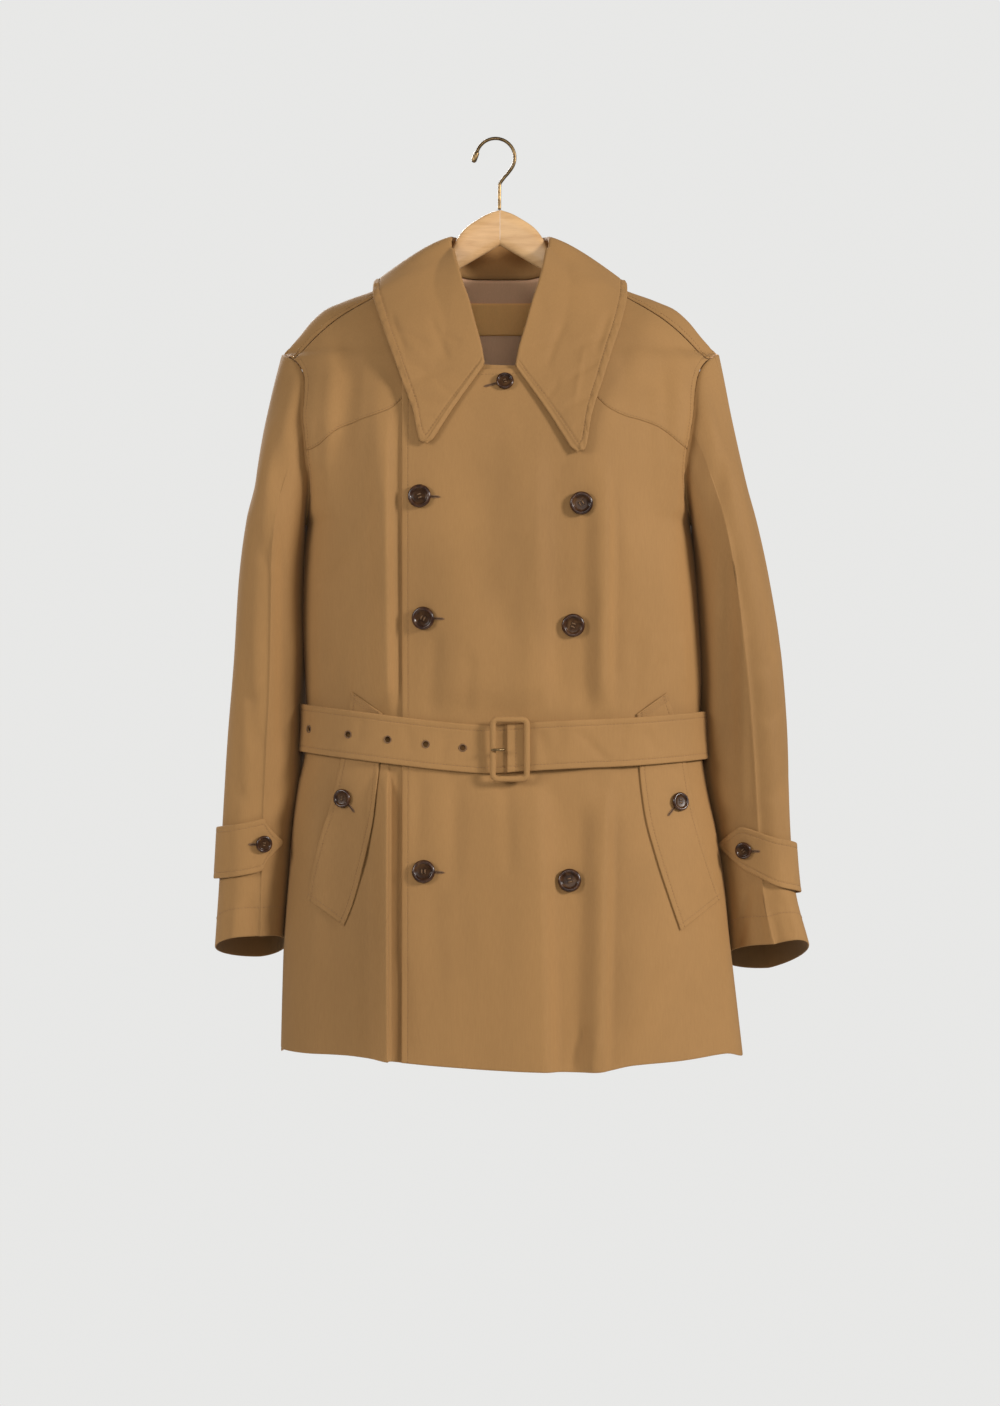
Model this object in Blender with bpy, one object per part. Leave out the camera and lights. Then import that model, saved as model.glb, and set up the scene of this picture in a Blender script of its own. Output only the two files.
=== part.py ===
"""A short double-breasted trench coat, belted, hanging on a wooden hanger.

Lengths below are millimetres and become metres where a mesh is made. +Z is up, the front
faces -Y, and left and right are the wearer's, so the wearer's left is +X. The origin is the
inner crown of the hanger's hook. The coat hangs a little to one side of it, so shapes are
worked out from the coat's own centre plane and moved by CENTRE_X at the end.
"""
import math

import bmesh
import bpy
import numpy as np
from mathutils import Vector

MM = 0.001
CENTRE_X = 4.7            # the coat's centre plane, from the hook's inner crown
LEFT, RIGHT = 1.0, -1.0   # the wearer's sides along X

# ---------------------------------------------------------------- cloth and its layers
CLOTH = 1.6               # a single layer of the shell cloth with its lining
DOUBLE = 2.4              # collar, belt, straps and welts, sewn double
SEAM_GAP = 0.5            # between two pieces along a seam
CURVED_SEAM_GAP = 1.1     # the same where the seam's line bends
FRONT_LIFT = 2.6          # the top front lies this far out from the front beneath
WELT_LIFT = 3.3           # outer face of a pocket welt from the front it lies on
BELT_LIFT = 7.0           # outer face of the belt from the coat
BELT_FOLD_LIFT = 10.0     # outer face where the buckle end lies over the tail
COLLAR_LIFT = 6.6         # outer face of the collar leaf from the front beneath

# ---------------------------------------------------------------- body
SIDE_Y = -25.0            # depth of the side seams
CHEST_Z = -330.0          # above this height the body rounds over towards the shoulder
HUMP_POWER = 0.625        # how full the shoulder is in section
FRONT_ROUND = 2.7         # how square the front is in plan
BACK_ROUND = 2.4
CORE_X = 130.0            # columns inside this keep their place, the rest follow the sides
NOMINAL_SIDE = 200.0      # a column's name at the side edge
NECK_HALF = 62.0          # where the neckline meets the shoulder seam
OVERLAP_LEFT_EDGE = -99.5  # front edge of the left front, which lies on top
OVERLAP_RIGHT_EDGE = 92.0  # front edge of the right front, hidden beneath
OVERLAP_END = 128.0       # here the left front is back at its own depth


def table(names, rows):
    """Named columns from the rows of a short table."""
    return {name: np.array(column, float) for name, column in zip(names.split(), zip(*rows))}


SIDES = table("z left right front back", [
    (-954, 252.0, 227.5, -25, -25),
    (-893, 245.0, 226.0, -25, -25),
    (-832, 238.0, 224.0, -25, -25),
    (-771, 232.0, 219.5, -25, -25),
    (-719, 224.0, 215.5, -25, -25),
    (-675, 214.5, 210.0, -25, -25),
    (-640, 209.5, 202.5, -25, -25),
    (-605, 208.0, 200.5, -25, -25),
    (-560, 209.0, 202.5, -25, -25),
    (-496, 206.0, 205.0, -25, -25),
    (-431, 201.0, 203.0, -25, -25),
    (-404, 197.0, 200.0, -25, -25),
    (-392, 194.0, 198.0, -42, 4),
    (-376, 190.5, 195.5, -54, 26),
    (-359, 189.0, 195.0, -62, 38),
    (-340, 190.0, 197.5, -67, 45),
    (-317, 194.0, 199.5, -68, 48),
    (-293, 198.0, 202.0, -64, 46),
    (-271, 200.0, 201.0, -57, 42),
    (-255, 203.0, 201.5, -49, 36),
    (-243, 207.5, 205.5, -40, 29),
    (-234, 214.5, 212.5, -31, 22),
    (-228, 222.0, 221.0, -18, 12),
    (-224, 227.0, 226.0, 0, 0),
])
ARMPIT_Z, TIP_Z = -404.0, -224.0

# The same depths as the body between them feels them, without the step at the armpit
FLANKS = table("z front back", [
    (-954, -25, -25), (-600, -25, -25), (-480, -32, -14), (-400, -45, 12), (-340, -59, 33),
    (-293, -62, 44), (-271, -57, 42), (-255, -49, 36), (-243, -40, 29), (-234, -31, 22),
    (-228, -18, 12), (-224, 0, 0),
])

DEPTHS = table("z front back", [
    (-958, -122, 72),
    (-850, -119, 66),
    (-760, -112, 56),
    (-700, -105, 47),
    (-660, -101.5, 42),
    (-625, -100, 41),
    (-590, -101.5, 44),
    (-500, -108, 54),
    (-420, -113, 61),
    (-350, -112, 64),
    (-300, -107, 65),
    (-250, -99, 65),
    (-142, -96, 66),
])

RIDGE = table("reach z", [
    (0, -100), (30, -105), (47, -112), (55, -117), (62, -121), (80, -131), (107, -145),
    (133, -158), (157, -166.5), (167, -170.5), (181, -176.5), (197, -190), (210, -206), (226, -224),
])
SHOULDER_SEAM = table("reach z", [
    (62, -121.5), (80, -133.5), (97, -146), (132, -166.5), (167, -188), (190, -207), (214, -231),
])
FRONT_NECK = table("reach z", [
    (0, -248), (19, -247), (31, -206), (39, -182), (47, -160), (56, -134), (62, -121.5),
])
BACK_NECK = table("reach z", [
    (0, -142), (25, -142), (47, -138), (57, -126), (62, -121),
])
YOKE_SEAM = table("reach z", [
    (31, -210), (47, -221), (62, -236), (80, -256), (97, -277), (110, -289), (125, -296), (143, -301),
    (163, -309), (188, -327), (202, -334),
])
HEM = table("x z", [
    (-227, -946), (-158, -946), (-115, -950), (-57, -955), (-9, -958), (51, -960),
    (97, -961), (135, -955), (182, -952), (233, -948), (252, -954),
])
BACK_HEM_Z = -950.0

# Soft folds: where the lowest line starts and ends, how it fades at both ends, how far it
# spreads to the wearer's right and left of that line, and how deep it lies (- is a ridge)
FOLDS = table("x_top z_top x_low z_low fade_top fade_low spread_right spread_left depth", [
    (-116, -330, -114, -600, 190, 50, 36, 17, -11.0),
    (-114, -655, -113, -1010, 50, 20, 34, 4, -12.0),
    (-158, -215, -167, -375, 50, 110, 19, 22, 7.0),
    (165, -240, 163, -430, 60, 90, 38, 24, 9.0),
    (-40, -400, -42, -640, 110, 50, 56, 60, -6.5),
    (60, -350, 57, -640, 70, 50, 50, 46, 6.5),
    (107, -400, 105, -640, 80, 50, 42, 56, -4.5),
    (-10, -690, -6, -1000, 60, 60, 66, 50, -6.0),
    (47, -690, 53, -1020, 60, 90, 44, 40, 6.5),
    (94, -700, 96, -1020, 60, 60, 40, 70, -4.5),
    (-196, -700, -206, -1000, 60, 20, 26, 40, -4.0),
    (214, -760, 231, -985, 90, 20, 26, 12, 4.5),
])
BACK_FOLDS = table("x_top z_top x_low z_low fade_top fade_low spread_right spread_left depth", [
    (-112, -230, -104, -640, 70, 60, 34, 30, -6.0),
    (-58, -360, -66, -640, 90, 40, 30, 28, -5.0),
    (30, -300, 24, -640, 110, 50, 36, 34, -6.5),
    (96, -250, 104, -640, 80, 60, 32, 34, -7.0),
    (-128, -660, -142, -990, 60, 20, 34, 34, -7.0),
    (-40, -670, -46, -990, 80, 20, 34, 36, -8.0),
    (44, -665, 52, -990, 60, 20, 32, 34, -6.0),
    (122, -665, 138, -990, 80, 20, 38, 32, -8.0),
])
CINCH_Z = -627.0
BELT_CINCH = 44.0         # half height of the stretch that the belt presses flat

# Grid columns, named by their place where the side edge is at NOMINAL_SIDE
OUTER_COLUMNS = [200, 197, 190, 180, 168, 155]
RIGHT_FRONT_COLUMNS = OUTER_COLUMNS + [146, 136, 127, 119, 113.5, 108.5, 99.5, 80]
LEFT_FRONT_COLUMNS = OUTER_COLUMNS + [140, 124, 106, 92, 77]
NECK_COLUMNS = [62, 47, 31, 19, 0]
RIGHT_OVERLAP_COLUMNS = [19, 31, 47, 62, 77, OVERLAP_RIGHT_EDGE]
LEFT_OVERLAP_COLUMNS = [19, 31, 47, 62, 80, -OVERLAP_LEFT_EDGE]
BACK_COLUMNS = OUTER_COLUMNS[:-1] + [152, 136, 118, 100, 84, 72, 62, 55, 47, 31, 16, 0]
YOKE_INNER = 30.0
LOWER_ROWS = [-900, -842, -788, -740, -706, -680, -655, -627, -596, -550, -495, -440, -404,
              -388, -366, -345]
UPPER_ROWS = 5
YOKE_ROWS = 6
BACK_HUMP_ROWS = 6
BACK_OVER_ROWS = 3
NECK_SHARE = 0.88         # below the neck the last rows crowd towards the seam

# ---------------------------------------------------------------- sleeves
SLEEVE_NAMES = ("along outer_x outer_z inner_x inner_y inner_z "
                "front_x front_y front_z back_x back_y back_z")
RIGHT_SLEEVE = table(SLEEVE_NAMES, [
    (0.00, 226, -224, 200, -15, -404, 200, -68, -300, 201, 48, -300),
    (0.06, 238, -262, 203, -6, -417, 214, -78, -332, 213, 56, -332),
    (0.14, 249, -314, 201, 6, -438, 225, -82, -372, 222, 62, -372),
    (0.21, 254, -358, 201, 14, -462, 231, -82, -407, 228, 65, -408),
    (0.28, 264, -398, 201.5, 18, -488, 234, -80, -442, 233, 66, -442),
    (0.38, 272.5, -460, 201.5, 21, -530, 235, -76, -495, 238, 66, -496),
    (0.50, 278, -545, 208, 27, -600, 237, -70, -572, 243, 66, -572),
    (0.62, 284.5, -625, 208.5, 26, -665, 241, -64, -645, 247, 64, -645),
    (0.74, 288.5, -690, 213.5, 20, -715, 244, -58, -703, 250, 62, -703),
    (0.86, 292.5, -762, 219, 18, -777, 246, -54, -768, 253, 60, -770),
    (1.00, 298, -843, 225, 18, -843, 247, -52, -829, 258, 60, -859),
])
LEFT_SLEEVE = table(SLEEVE_NAMES, [
    (0.00, 227, -224, 197, -15, -404, 197, -68, -300, 198, 48, -300),
    (0.06, 238, -270, 200, -6, -418, 213, -78, -332, 212, 56, -332),
    (0.14, 248, -322, 200.5, 6, -440, 224, -82, -376, 224, 62, -376),
    (0.21, 257, -362, 201, 14, -464, 232, -82, -410, 232, 65, -410),
    (0.28, 268, -402, 202, 18, -490, 239, -80, -445, 240, 66, -446),
    (0.38, 281, -462, 203.5, 21, -532, 247, -76, -497, 248, 66, -498),
    (0.50, 294, -545, 211, 27, -600, 256, -70, -572, 258, 66, -574),
    (0.62, 300, -628, 213, 26, -668, 262, -64, -648, 264, 64, -650),
    (0.74, 302, -700, 220, 20, -722, 266, -58, -710, 268, 62, -712),
    (0.86, 307, -775, 229.5, 18, -790, 272, -54, -780, 274, 60, -784),
    (1.00, 323, -843, 236, 18, -858, 284, -50, -837, 288, 60, -871),
])
SLEEVES = {LEFT: LEFT_SLEEVE, RIGHT: RIGHT_SLEEVE}
OUTER_Y = -15.0           # depth of the sleeve's outer edge
SLEEVE_CREASE = {LEFT: 1.12, RIGHT: 1.45}     # 1 is round, more gives a front crease
SLEEVE_BLEND = 0.20       # share of the sleeve over which the armhole's shape fades out
SLEEVE_SEAMS = {LEFT: (18.0, 164.0), RIGHT: (-14.0, 164.0)}   # degrees round the sleeve
SLEEVE_RINGS = [0, 0.025, 0.06, 0.10, 0.14, 0.18, 0.23, 0.30, 0.40, 0.50, 0.60, 0.70, 0.80, 0.90, 1.0]
SLEEVE_COLUMNS = 10
SLEEVE_GAP = 0.45         # half the gap at a sleeve seam, in degrees round the sleeve
CAP_STEP = 2.0            # the sleeve's head stands this far out past the armhole seam

STRAP_NAMES = "angle top low"
CUFF_STRAPS = {
    RIGHT: table(STRAP_NAMES, [(-125, -723, -777), (-60, -721, -775), (0, -718, -772),
                               (40, -714, -768), (88, -706, -761), (132, -731, -734)]),
    LEFT: table(STRAP_NAMES, [(-125, -742, -794), (-60, -740, -792), (0, -735, -787),
                              (60, -727, -778), (114, -715, -761), (146, -734, -737)]),
}
STRAP_LIFT = {LEFT: 4.15, RIGHT: 4.2}         # outer face of the strap from the sleeve
STRAP_BULGE = 2.6         # further out where the strap turns round the sleeve's outer edge

# ---------------------------------------------------------------- collar
COLLAR_NAMES = "station roll_x roll_y roll_z edge_x edge_y edge_z"
COLLAR = {
    RIGHT: table(COLLAR_NAMES, [
        (0.0, 17, -95, -247, 71, -110, -320),
        (0.4, 20, -89, -230, 80, -110, -317),
        (1.0, 26, -80, -210, 88, -106, -295),
        (2.0, 33, -67, -187, 101, -98, -257),
        (3.0, 40, -55, -170, 114, -86, -221),
        (4.0, 45, -42, -152, 123, -70, -195),
        (5.0, 50, -26, -128, 132, -40, -163),
        (6.0, 53, -6, -103, 132.5, -4, -150),
        (7.0, 51, 16, -99, 122, 36, -164),
        (8.0, 38, 36, -98, 82, 62, -183),
        (9.0, 18, 45, -98, 38, 70, -191),
        (10.0, 0, 47, -98, 0, 72, -193),
    ]),
    LEFT: table(COLLAR_NAMES, [
        (0.0, 17, -95, -250, 74, -110, -331),
        (0.4, 20, -89, -235, 84, -110, -327),
        (1.0, 27, -80, -212, 92, -106, -302),
        (2.0, 34, -67, -192, 104, -98, -262),
        (3.0, 41, -55, -172, 115, -86, -227),
        (4.0, 46, -42, -152, 124, -70, -200),
        (5.0, 50, -26, -130, 132, -40, -166),
        (6.0, 53, -6, -103, 133, -4, -151),
        (7.0, 51, 16, -99, 122, 36, -164),
        (8.0, 38, 36, -98, 82, 62, -183),
        (9.0, 18, 45, -98, 38, 70, -191),
        (10.0, 0, 47, -98, 0, 72, -193),
    ]),
}
COLLAR_STATIONS = [0, 0.4, 1.0, 1.6, 2.3, 3.0, 3.7, 4.3, 4.8, 5.3, 5.8, 6.3, 6.9, 7.6, 8.4, 9.2, 10.0]
COLLAR_ROWS = 5
COLLAR_BOW = 6.0          # how far the leaf stands off a straight line from roll to edge
STAND_START = 5.5         # collar station where the stand begins to show
STAND_ROWS = 3
STAND_FOOT = table("reach rise", [(0, 0.7), (44, 0.7), (57, 3.5), (62, 3.5)])   # over the neckline

# ---------------------------------------------------------------- inside of the neck
LINING = 1.0
LAYER_GAP = 0.8
LINING_HALF = 55.0
LINING_LOW = -346.0
BAND_TOP, BAND_LOW = -166.0, -199.0

# ---------------------------------------------------------------- pockets
WELT_NAMES = "share inner_x inner_z outer_x outer_z"
WELTS = {
    LEFT: table(WELT_NAMES, [
        (0.00, 139, -600, 170, -578),
        (0.25, 141, -650, 187, -637),
        (0.45, 147, -702, 197, -694),
        (0.65, 158, -745, 208, -735),
        (0.85, 174, -794, 220, -772),
        (1.00, 183, -820, 226, -790),
    ]),
    RIGHT: table(WELT_NAMES, [
        (0.00, 119, -599, 151, -577),
        (0.25, 122, -648, 160, -637),
        (0.45, 127, -702, 172, -690),
        (0.65, 136, -745, 184, -728),
        (0.85, 149, -793, 193, -768),
        (1.00, 158, -815, 196, -789),
    ]),
}
WELT_THICK = 2.0
WELT_ROWS, WELT_COLUMNS = 11, 5

# ---------------------------------------------------------------- belt and buckle
BELT_LINE = table("x z", [
    (-205, -613.5), (-170, -618.5), (-130, -623.5), (-99, -627.5), (-60, -632), (-12, -635.5),
    (30, -633), (77, -630.5), (126, -628.5), (180, -624.5), (212, -621.5),
])
BELT_BACK_Z = -616.0
BELT_HALF = 24.5
BELT_ROWS = 3
BELT_FOLD_X = 7.0         # where the buckle end is folded, seen in the buckle's window
BELT_TAIL_X = 66.0        # the tail's end, hidden behind the buckle end
BELT_FOLD_END = 104.0     # here the buckle end is back on the coat
BELT_HOLES_X = [-191.0, -152.0, -112.5, -74.5, -37.5]
BELT_HOLE_RADIUS = 3.0

BUCKLE_X, BUCKLE_Z = 10.0, -635.5
BUCKLE_WIDTH, BUCKLE_HEIGHT = 40.5, 66.0
BUCKLE_BAR, BUCKLE_DEPTH = 6.0, 4.6
BUCKLE_CORNER = 8.0
BUCKLE_LIFT = 11.4        # inner face of the buckle from the coat
PRONG_RADIUS = 1.3

# ---------------------------------------------------------------- buttons
FRONT_BUTTON = (11.8, 4.2)          # radius and height
POCKET_BUTTON = (9.6, 3.8)
COLLAR_BUTTON = (9.0, 3.8)
CUFF_BUTTON = (8.8, 3.8)
FRONT_BUTTONS = [(-81, -380), (-77, -503), (-77, -759), (82, -387), (74, -510), (70, -768)]
COLLAR_BUTTON_AT = (5, -263)
POCKET_BUTTONS = {LEFT: (182, -690), RIGHT: (-159, -686)}
CUFF_BUTTONS = {LEFT: (111.0, -740.0), RIGHT: (86.0, -733.0)}   # degrees round, height
BUTTON_GAP = 0.75
CUFF_BUTTON_GAP = {LEFT: 0.85, RIGHT: 0.9}
BUTTON_SIDES = 10

# ---------------------------------------------------------------- hanger
HANGER_TOP = table("reach z", [
    (0, -73), (12, -77), (23, -83), (36, -92), (44, -102), (49, -111), (55, -119),
    (65, -128.5), (80, -138), (107, -151.5), (133, -164.5), (160, -175), (178, -183), (186, -190),
])
HANGER_LOW = table("reach z", [
    (0, -110), (24, -124), (48, -138), (65, -148), (80, -155), (107, -168), (133, -180),
    (160, -191), (178, -197), (186, -193),
])
HANGER_STATIONS = [0.3, 6, 12, 23, 36, 44, 49, 55, 65, 80, 107, 133, 160, 174, 182, 186]
HANGER_HALF_THICK = 6.0
HANGER_SWEEP = 3.0        # how far forward the arm's end is
HANGER_SIDES = 12
HANGER_SQUARE = 3.2       # how square the arm is in section

HOOK_WIRE = 3.5
HOOK_CENTRE = (-4.7, -18.45)
HOOK_RADIUS = 20.2
HOOK_STEM_X = -0.6
HOOK_FOOT_Z = -72.6
HOOK_BEND_Z = -47.0
HOOK_CAP_RADIUS = 2.8

# ---------------------------------------------------------------- colours
TAN = (0.370, 0.200, 0.082, 1)
TAUPE = (0.190, 0.102, 0.055, 1)
BEECH = (0.800, 0.510, 0.250, 1)
BRONZE = (0.160, 0.095, 0.040, 1)
HORN = (0.040, 0.016, 0.008, 1)


# ================================================================ curves and surfaces
def smooth(knots, values, at):
    """A smooth curve through the knots that never swings past them."""
    at = np.clip(np.asarray(at, float), knots[0], knots[-1])
    step = np.diff(knots)
    slope = np.diff(values) / step
    turn = slope[:-1] * slope[1:] > 0
    near = 2 * step[1:] + step[:-1]
    far = step[1:] + 2 * step[:-1]
    safe_left = np.where(turn, slope[:-1], 1.0)
    safe_right = np.where(turn, slope[1:], 1.0)
    inner = np.where(turn, (near + far) / (near / safe_left + far / safe_right), 0.0)
    tangent = np.concatenate(([slope[0]], inner, [slope[-1]]))
    cell = np.clip(np.searchsorted(knots, at, side="right") - 1, 0, len(step) - 1)
    t = (at - knots[cell]) / step[cell]
    rise = t * t * (3 - 2 * t)
    bend_in = t * (1 - t) ** 2 * step[cell] * tangent[cell]
    bend_out = t * t * (t - 1) * step[cell] * tangent[cell + 1]
    return values[cell] + (values[cell + 1] - values[cell]) * rise + bend_in + bend_out


def ease(share):
    """0 to 1 with soft ends."""
    share = np.clip(share, 0, 1)
    return share * share * (3 - 2 * share)


def ridge_z(x):
    return smooth(RIDGE["reach"], RIDGE["z"], np.abs(x))


def reach_at(x, z):
    """Distance of the side edge from the centre plane, on x's side, at height z."""
    left = smooth(SIDES["z"], SIDES["left"], z)
    right = smooth(SIDES["z"], SIDES["right"], z)
    return np.where(np.asarray(x) < 0, right, left)


def column_x(name, z):
    """Place of a grid column at height z."""
    beyond = max(abs(name) - CORE_X, 0) / (NOMINAL_SIDE - CORE_X)
    return math.copysign(1, name) * (min(abs(name), CORE_X) + beyond * (reach_at(name, z) - CORE_X))


def fold_depth(folds, x, z):
    """How far the folds press the cloth in at a place."""
    total = np.zeros(np.broadcast(x, z).shape)
    for row in zip(*folds.values()):
        x_top, z_top, x_low, z_low, fade_top, fade_low, to_right, to_left, depth = row
        down = np.clip((z_top - z) / (z_top - z_low), 0, 1)
        off = x - (x_top + (x_low - x_top) * down)
        spread = np.where(off < 0, to_right, to_left)
        across = 0.5 + 0.5 * np.cos(np.pi * np.clip(off / spread, -1, 1))
        below_top = ease((z_top + 0.5 * fade_top - z) / fade_top)
        above_low = ease((z - z_low + 0.5 * fade_low) / fade_low)
        total = total + depth * across * below_top * above_low
    cinch = np.exp(-((z - CINCH_Z) / BELT_CINCH) ** 4)
    return total * (1 - 0.95 * cinch)


def body_face(x, z, edge_name, depth_name, roundness, folds, outward):
    """Depth of the coat's outer face at x and height z, on its front or its back."""
    share = np.clip(np.abs(x) / reach_at(x, z), 0, 1)
    fullness = np.sqrt(np.clip(1 - share ** roundness, 0, 1))
    rise = np.clip((z - CHEST_Z) / (ridge_z(x) - CHEST_Z), 0, 1)
    over = (1 - rise ** 2) ** HUMP_POWER
    middle = smooth(DEPTHS["z"], DEPTHS[depth_name], z) * over
    edge = smooth(SIDES["z"], SIDES[edge_name], z)
    flank = smooth(FLANKS["z"], FLANKS[edge_name], z)
    inside = flank + (middle - flank) * fullness
    return inside + (edge - flank) * share ** 12 - outward * fold_depth(folds, x, z) * fullness * over


def front_y(x, z):
    return body_face(x, z, "front", "front", FRONT_ROUND, FOLDS, -1.0)


def back_y(x, z):
    return body_face(x, z, "back", "back", BACK_ROUND, BACK_FOLDS, 1.0)


def overlap_lift(x):
    """How far the left front stands out where the right front lies beneath it."""
    return FRONT_LIFT * ease((OVERLAP_END - x) / (OVERLAP_END - OVERLAP_RIGHT_EDGE))


def crossing(height_of, name):
    """Height at which a grid column meets a line given by its height at each x."""
    low, high = CHEST_Z, -90.0
    for _ in range(40):
        z = 0.5 * (low + high)
        if z < float(height_of(column_x(name, z))):
            low = z
        else:
            high = z
    return 0.5 * (low + high)


def line_z(line):
    return lambda x: smooth(line["reach"], line["z"], abs(x))


# ================================================================ meshes
def grid_normals(points):
    """Unit normals of a grid of points, along rows x columns."""
    along = np.gradient(points, axis=0)
    across = np.gradient(points, axis=1)
    normal = np.cross(across, along)
    length = np.linalg.norm(normal, axis=2, keepdims=True)
    return normal / np.maximum(length, 1e-9)


def wall(points, thickness, flip=False, level_edge=None, normals=None):
    """A closed wall: the grid of points is its outer face, and it is thick inwards.

    level_edge is the axis along which the first and last rows of the grid have no
    thickness, so that two walls can meet there face to face. A flipped grid is split along
    the other diagonal, so that the two fronts bend alike where they overlap.
    """
    points = np.asarray(points, float)
    normals = grid_normals(points) if normals is None else normals
    inward = -normals * (-1 if flip else 1)
    if level_edge is not None:
        axis, edges = level_edge
        for edge in edges:
            inward[edge, :, axis] = 0.0
            length = np.linalg.norm(inward[edge], axis=1, keepdims=True)
            inward[edge] = inward[edge] / np.maximum(length, 0.3)
    inner = points + inward * thickness
    rows, columns = points.shape[:2]
    vertices = np.concatenate((points.reshape(-1, 3), inner.reshape(-1, 3)))
    count = rows * columns

    def outer_index(row, column):
        return row * columns + column

    faces = []
    for row in range(rows - 1):
        for column in range(columns - 1):
            corner = outer_index(row, column)
            beside = outer_index(row, column + 1)
            above = outer_index(row + 1, column)
            far = outer_index(row + 1, column + 1)
            halves = [[corner, beside, far], [corner, far, above]]
            if flip:
                halves = [[corner, beside, above], [beside, far, above]]
            faces += halves
            faces += [[count + index for index in reversed(half)] for half in halves]
    border = [outer_index(0, c) for c in range(columns - 1)]
    border += [outer_index(r, columns - 1) for r in range(rows - 1)]
    border += [outer_index(rows - 1, c) for c in range(columns - 1, 0, -1)]
    border += [outer_index(r, 0) for r in range(rows - 1, 0, -1)]
    for here, there in zip(border, border[1:] + border[:1]):
        faces.append([there, here, count + here, count + there])
    if flip:
        faces = [face[::-1] for face in faces]
    return vertices, faces


def closed_rings(rings, cap_ends=True):
    """A skin over equal rings of points, with its ends filled."""
    rings = np.asarray(rings, float)
    count, sides = rings.shape[:2]
    faces = []
    for ring in range(count - 1 if cap_ends else count):
        following = (ring + 1) % count
        for side in range(sides):
            after = (side + 1) % sides
            faces.append([ring * sides + side, ring * sides + after,
                          following * sides + after, following * sides + side])
    if cap_ends:
        faces.append([side for side in reversed(range(sides))])
        faces.append([(count - 1) * sides + side for side in range(sides)])
    return rings.reshape(-1, 3), faces


def make_material(name, colour, roughness, metallic=0.0):
    material = bpy.data.materials.new(name)
    material.use_nodes = True
    shader = material.node_tree.nodes["Principled BSDF"]
    shader.inputs["Base Color"].default_value = colour
    shader.inputs["Roughness"].default_value = roughness
    shader.inputs["Metallic"].default_value = metallic
    material.diffuse_color = colour
    return material


def make_object(name, vertices, faces, material, smooth_angle=40.0, centred=True):
    """A mesh object in metres whose faces point outwards."""
    shift = np.array([CENTRE_X if centred else 0.0, 0.0, 0.0])
    mesh = bpy.data.meshes.new(name)
    mesh.from_pydata(((np.asarray(vertices) + shift) * MM).tolist(), [], faces)
    work = bmesh.new()
    work.from_mesh(mesh)
    bmesh.ops.recalc_face_normals(work, faces=work.faces)
    if work.calc_volume(signed=True) < 0:
        bmesh.ops.reverse_faces(work, faces=work.faces)
    work.to_mesh(mesh)
    work.free()
    mesh.shade_smooth()
    mesh.set_sharp_from_angle(angle=math.radians(smooth_angle))
    mesh.materials.append(material)
    piece = bpy.data.objects.new(name, mesh)
    bpy.context.collection.objects.link(piece)
    return piece


# ================================================================ body panels
def hem_z(x):
    return smooth(HEM["x"], HEM["z"], x)


def front_point(x, z, lift):
    return (x, float(front_y(x, z)) - lift, z)


def front_columns(side, overlap):
    """Column names from the side edge in to the neck and on across the overlap."""
    own = RIGHT_FRONT_COLUMNS if side == RIGHT else LEFT_FRONT_COLUMNS
    return [side * name for name in own + NECK_COLUMNS] + [-side * name for name in overlap]


def front_top(side, name):
    """Top of a lower front column: the yoke seam, or the neckline past it."""
    inward = side * name
    if inward > YOKE_INNER:
        return crossing(line_z(YOKE_SEAM), name) - SEAM_GAP
    if inward >= 0:
        return float(smooth(FRONT_NECK["reach"], FRONT_NECK["z"], inward))
    return float(FRONT_NECK["z"][0]) - 0.02 * abs(inward)


def build_front(name, side, overlap, neck_drop, cloth):
    """A front from its hem to the yoke seam and the neckline."""
    rows = []
    for column in front_columns(side, overlap):
        top = front_top(side, column)
        if side * column < YOKE_INNER:
            top -= neck_drop
        levels = [float(hem_z(column_x(column, -950.0)))] + LOWER_ROWS
        rise = (top - LOWER_ROWS[-1]) / UPPER_ROWS
        levels += [LOWER_ROWS[-1] + rise * step for step in range(1, UPPER_ROWS + 1)]
        line = []
        for z in levels:
            x = float(column_x(column, z))
            lift = float(overlap_lift(x)) if side == LEFT else 0.0
            line.append(front_point(x, z, lift))
        rows.append(line)
    rows[0] = [(x, y - 0.5 * SEAM_GAP, z) for x, y, z in rows[0]]
    return make_object(name, *wall(rows, CLOTH, flip=side == RIGHT, level_edge=(1, [0])), cloth)


def build_yoke(name, side, cloth):
    """A front yoke from the yoke seam up to the forward shoulder seam."""
    own = RIGHT_FRONT_COLUMNS if side == RIGHT else LEFT_FRONT_COLUMNS
    columns = [side * column for column in own + [62, 47, 31]]
    rows = []
    for column in columns:
        low = crossing(line_z(YOKE_SEAM), column)
        if abs(column) >= NECK_HALF:
            top = crossing(line_z(SHOULDER_SEAM), column)
        else:
            top = float(smooth(FRONT_NECK["reach"], FRONT_NECK["z"], abs(column)))
        line = []
        for step in range(YOKE_ROWS + 1):
            z = low + (top - low) * math.sin(math.pi / 2 * step / YOKE_ROWS)
            x = float(column_x(column, z))
            lift = float(overlap_lift(x)) if side == LEFT else 0.0
            line.append(front_point(x, z, lift))
        rows.append(line)
    rows[0] = [(x, y - 0.5 * SEAM_GAP, z) for x, y, z in rows[0]]
    return make_object(name, *wall(rows, CLOTH, flip=side == RIGHT, level_edge=(1, [0])), cloth)


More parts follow.
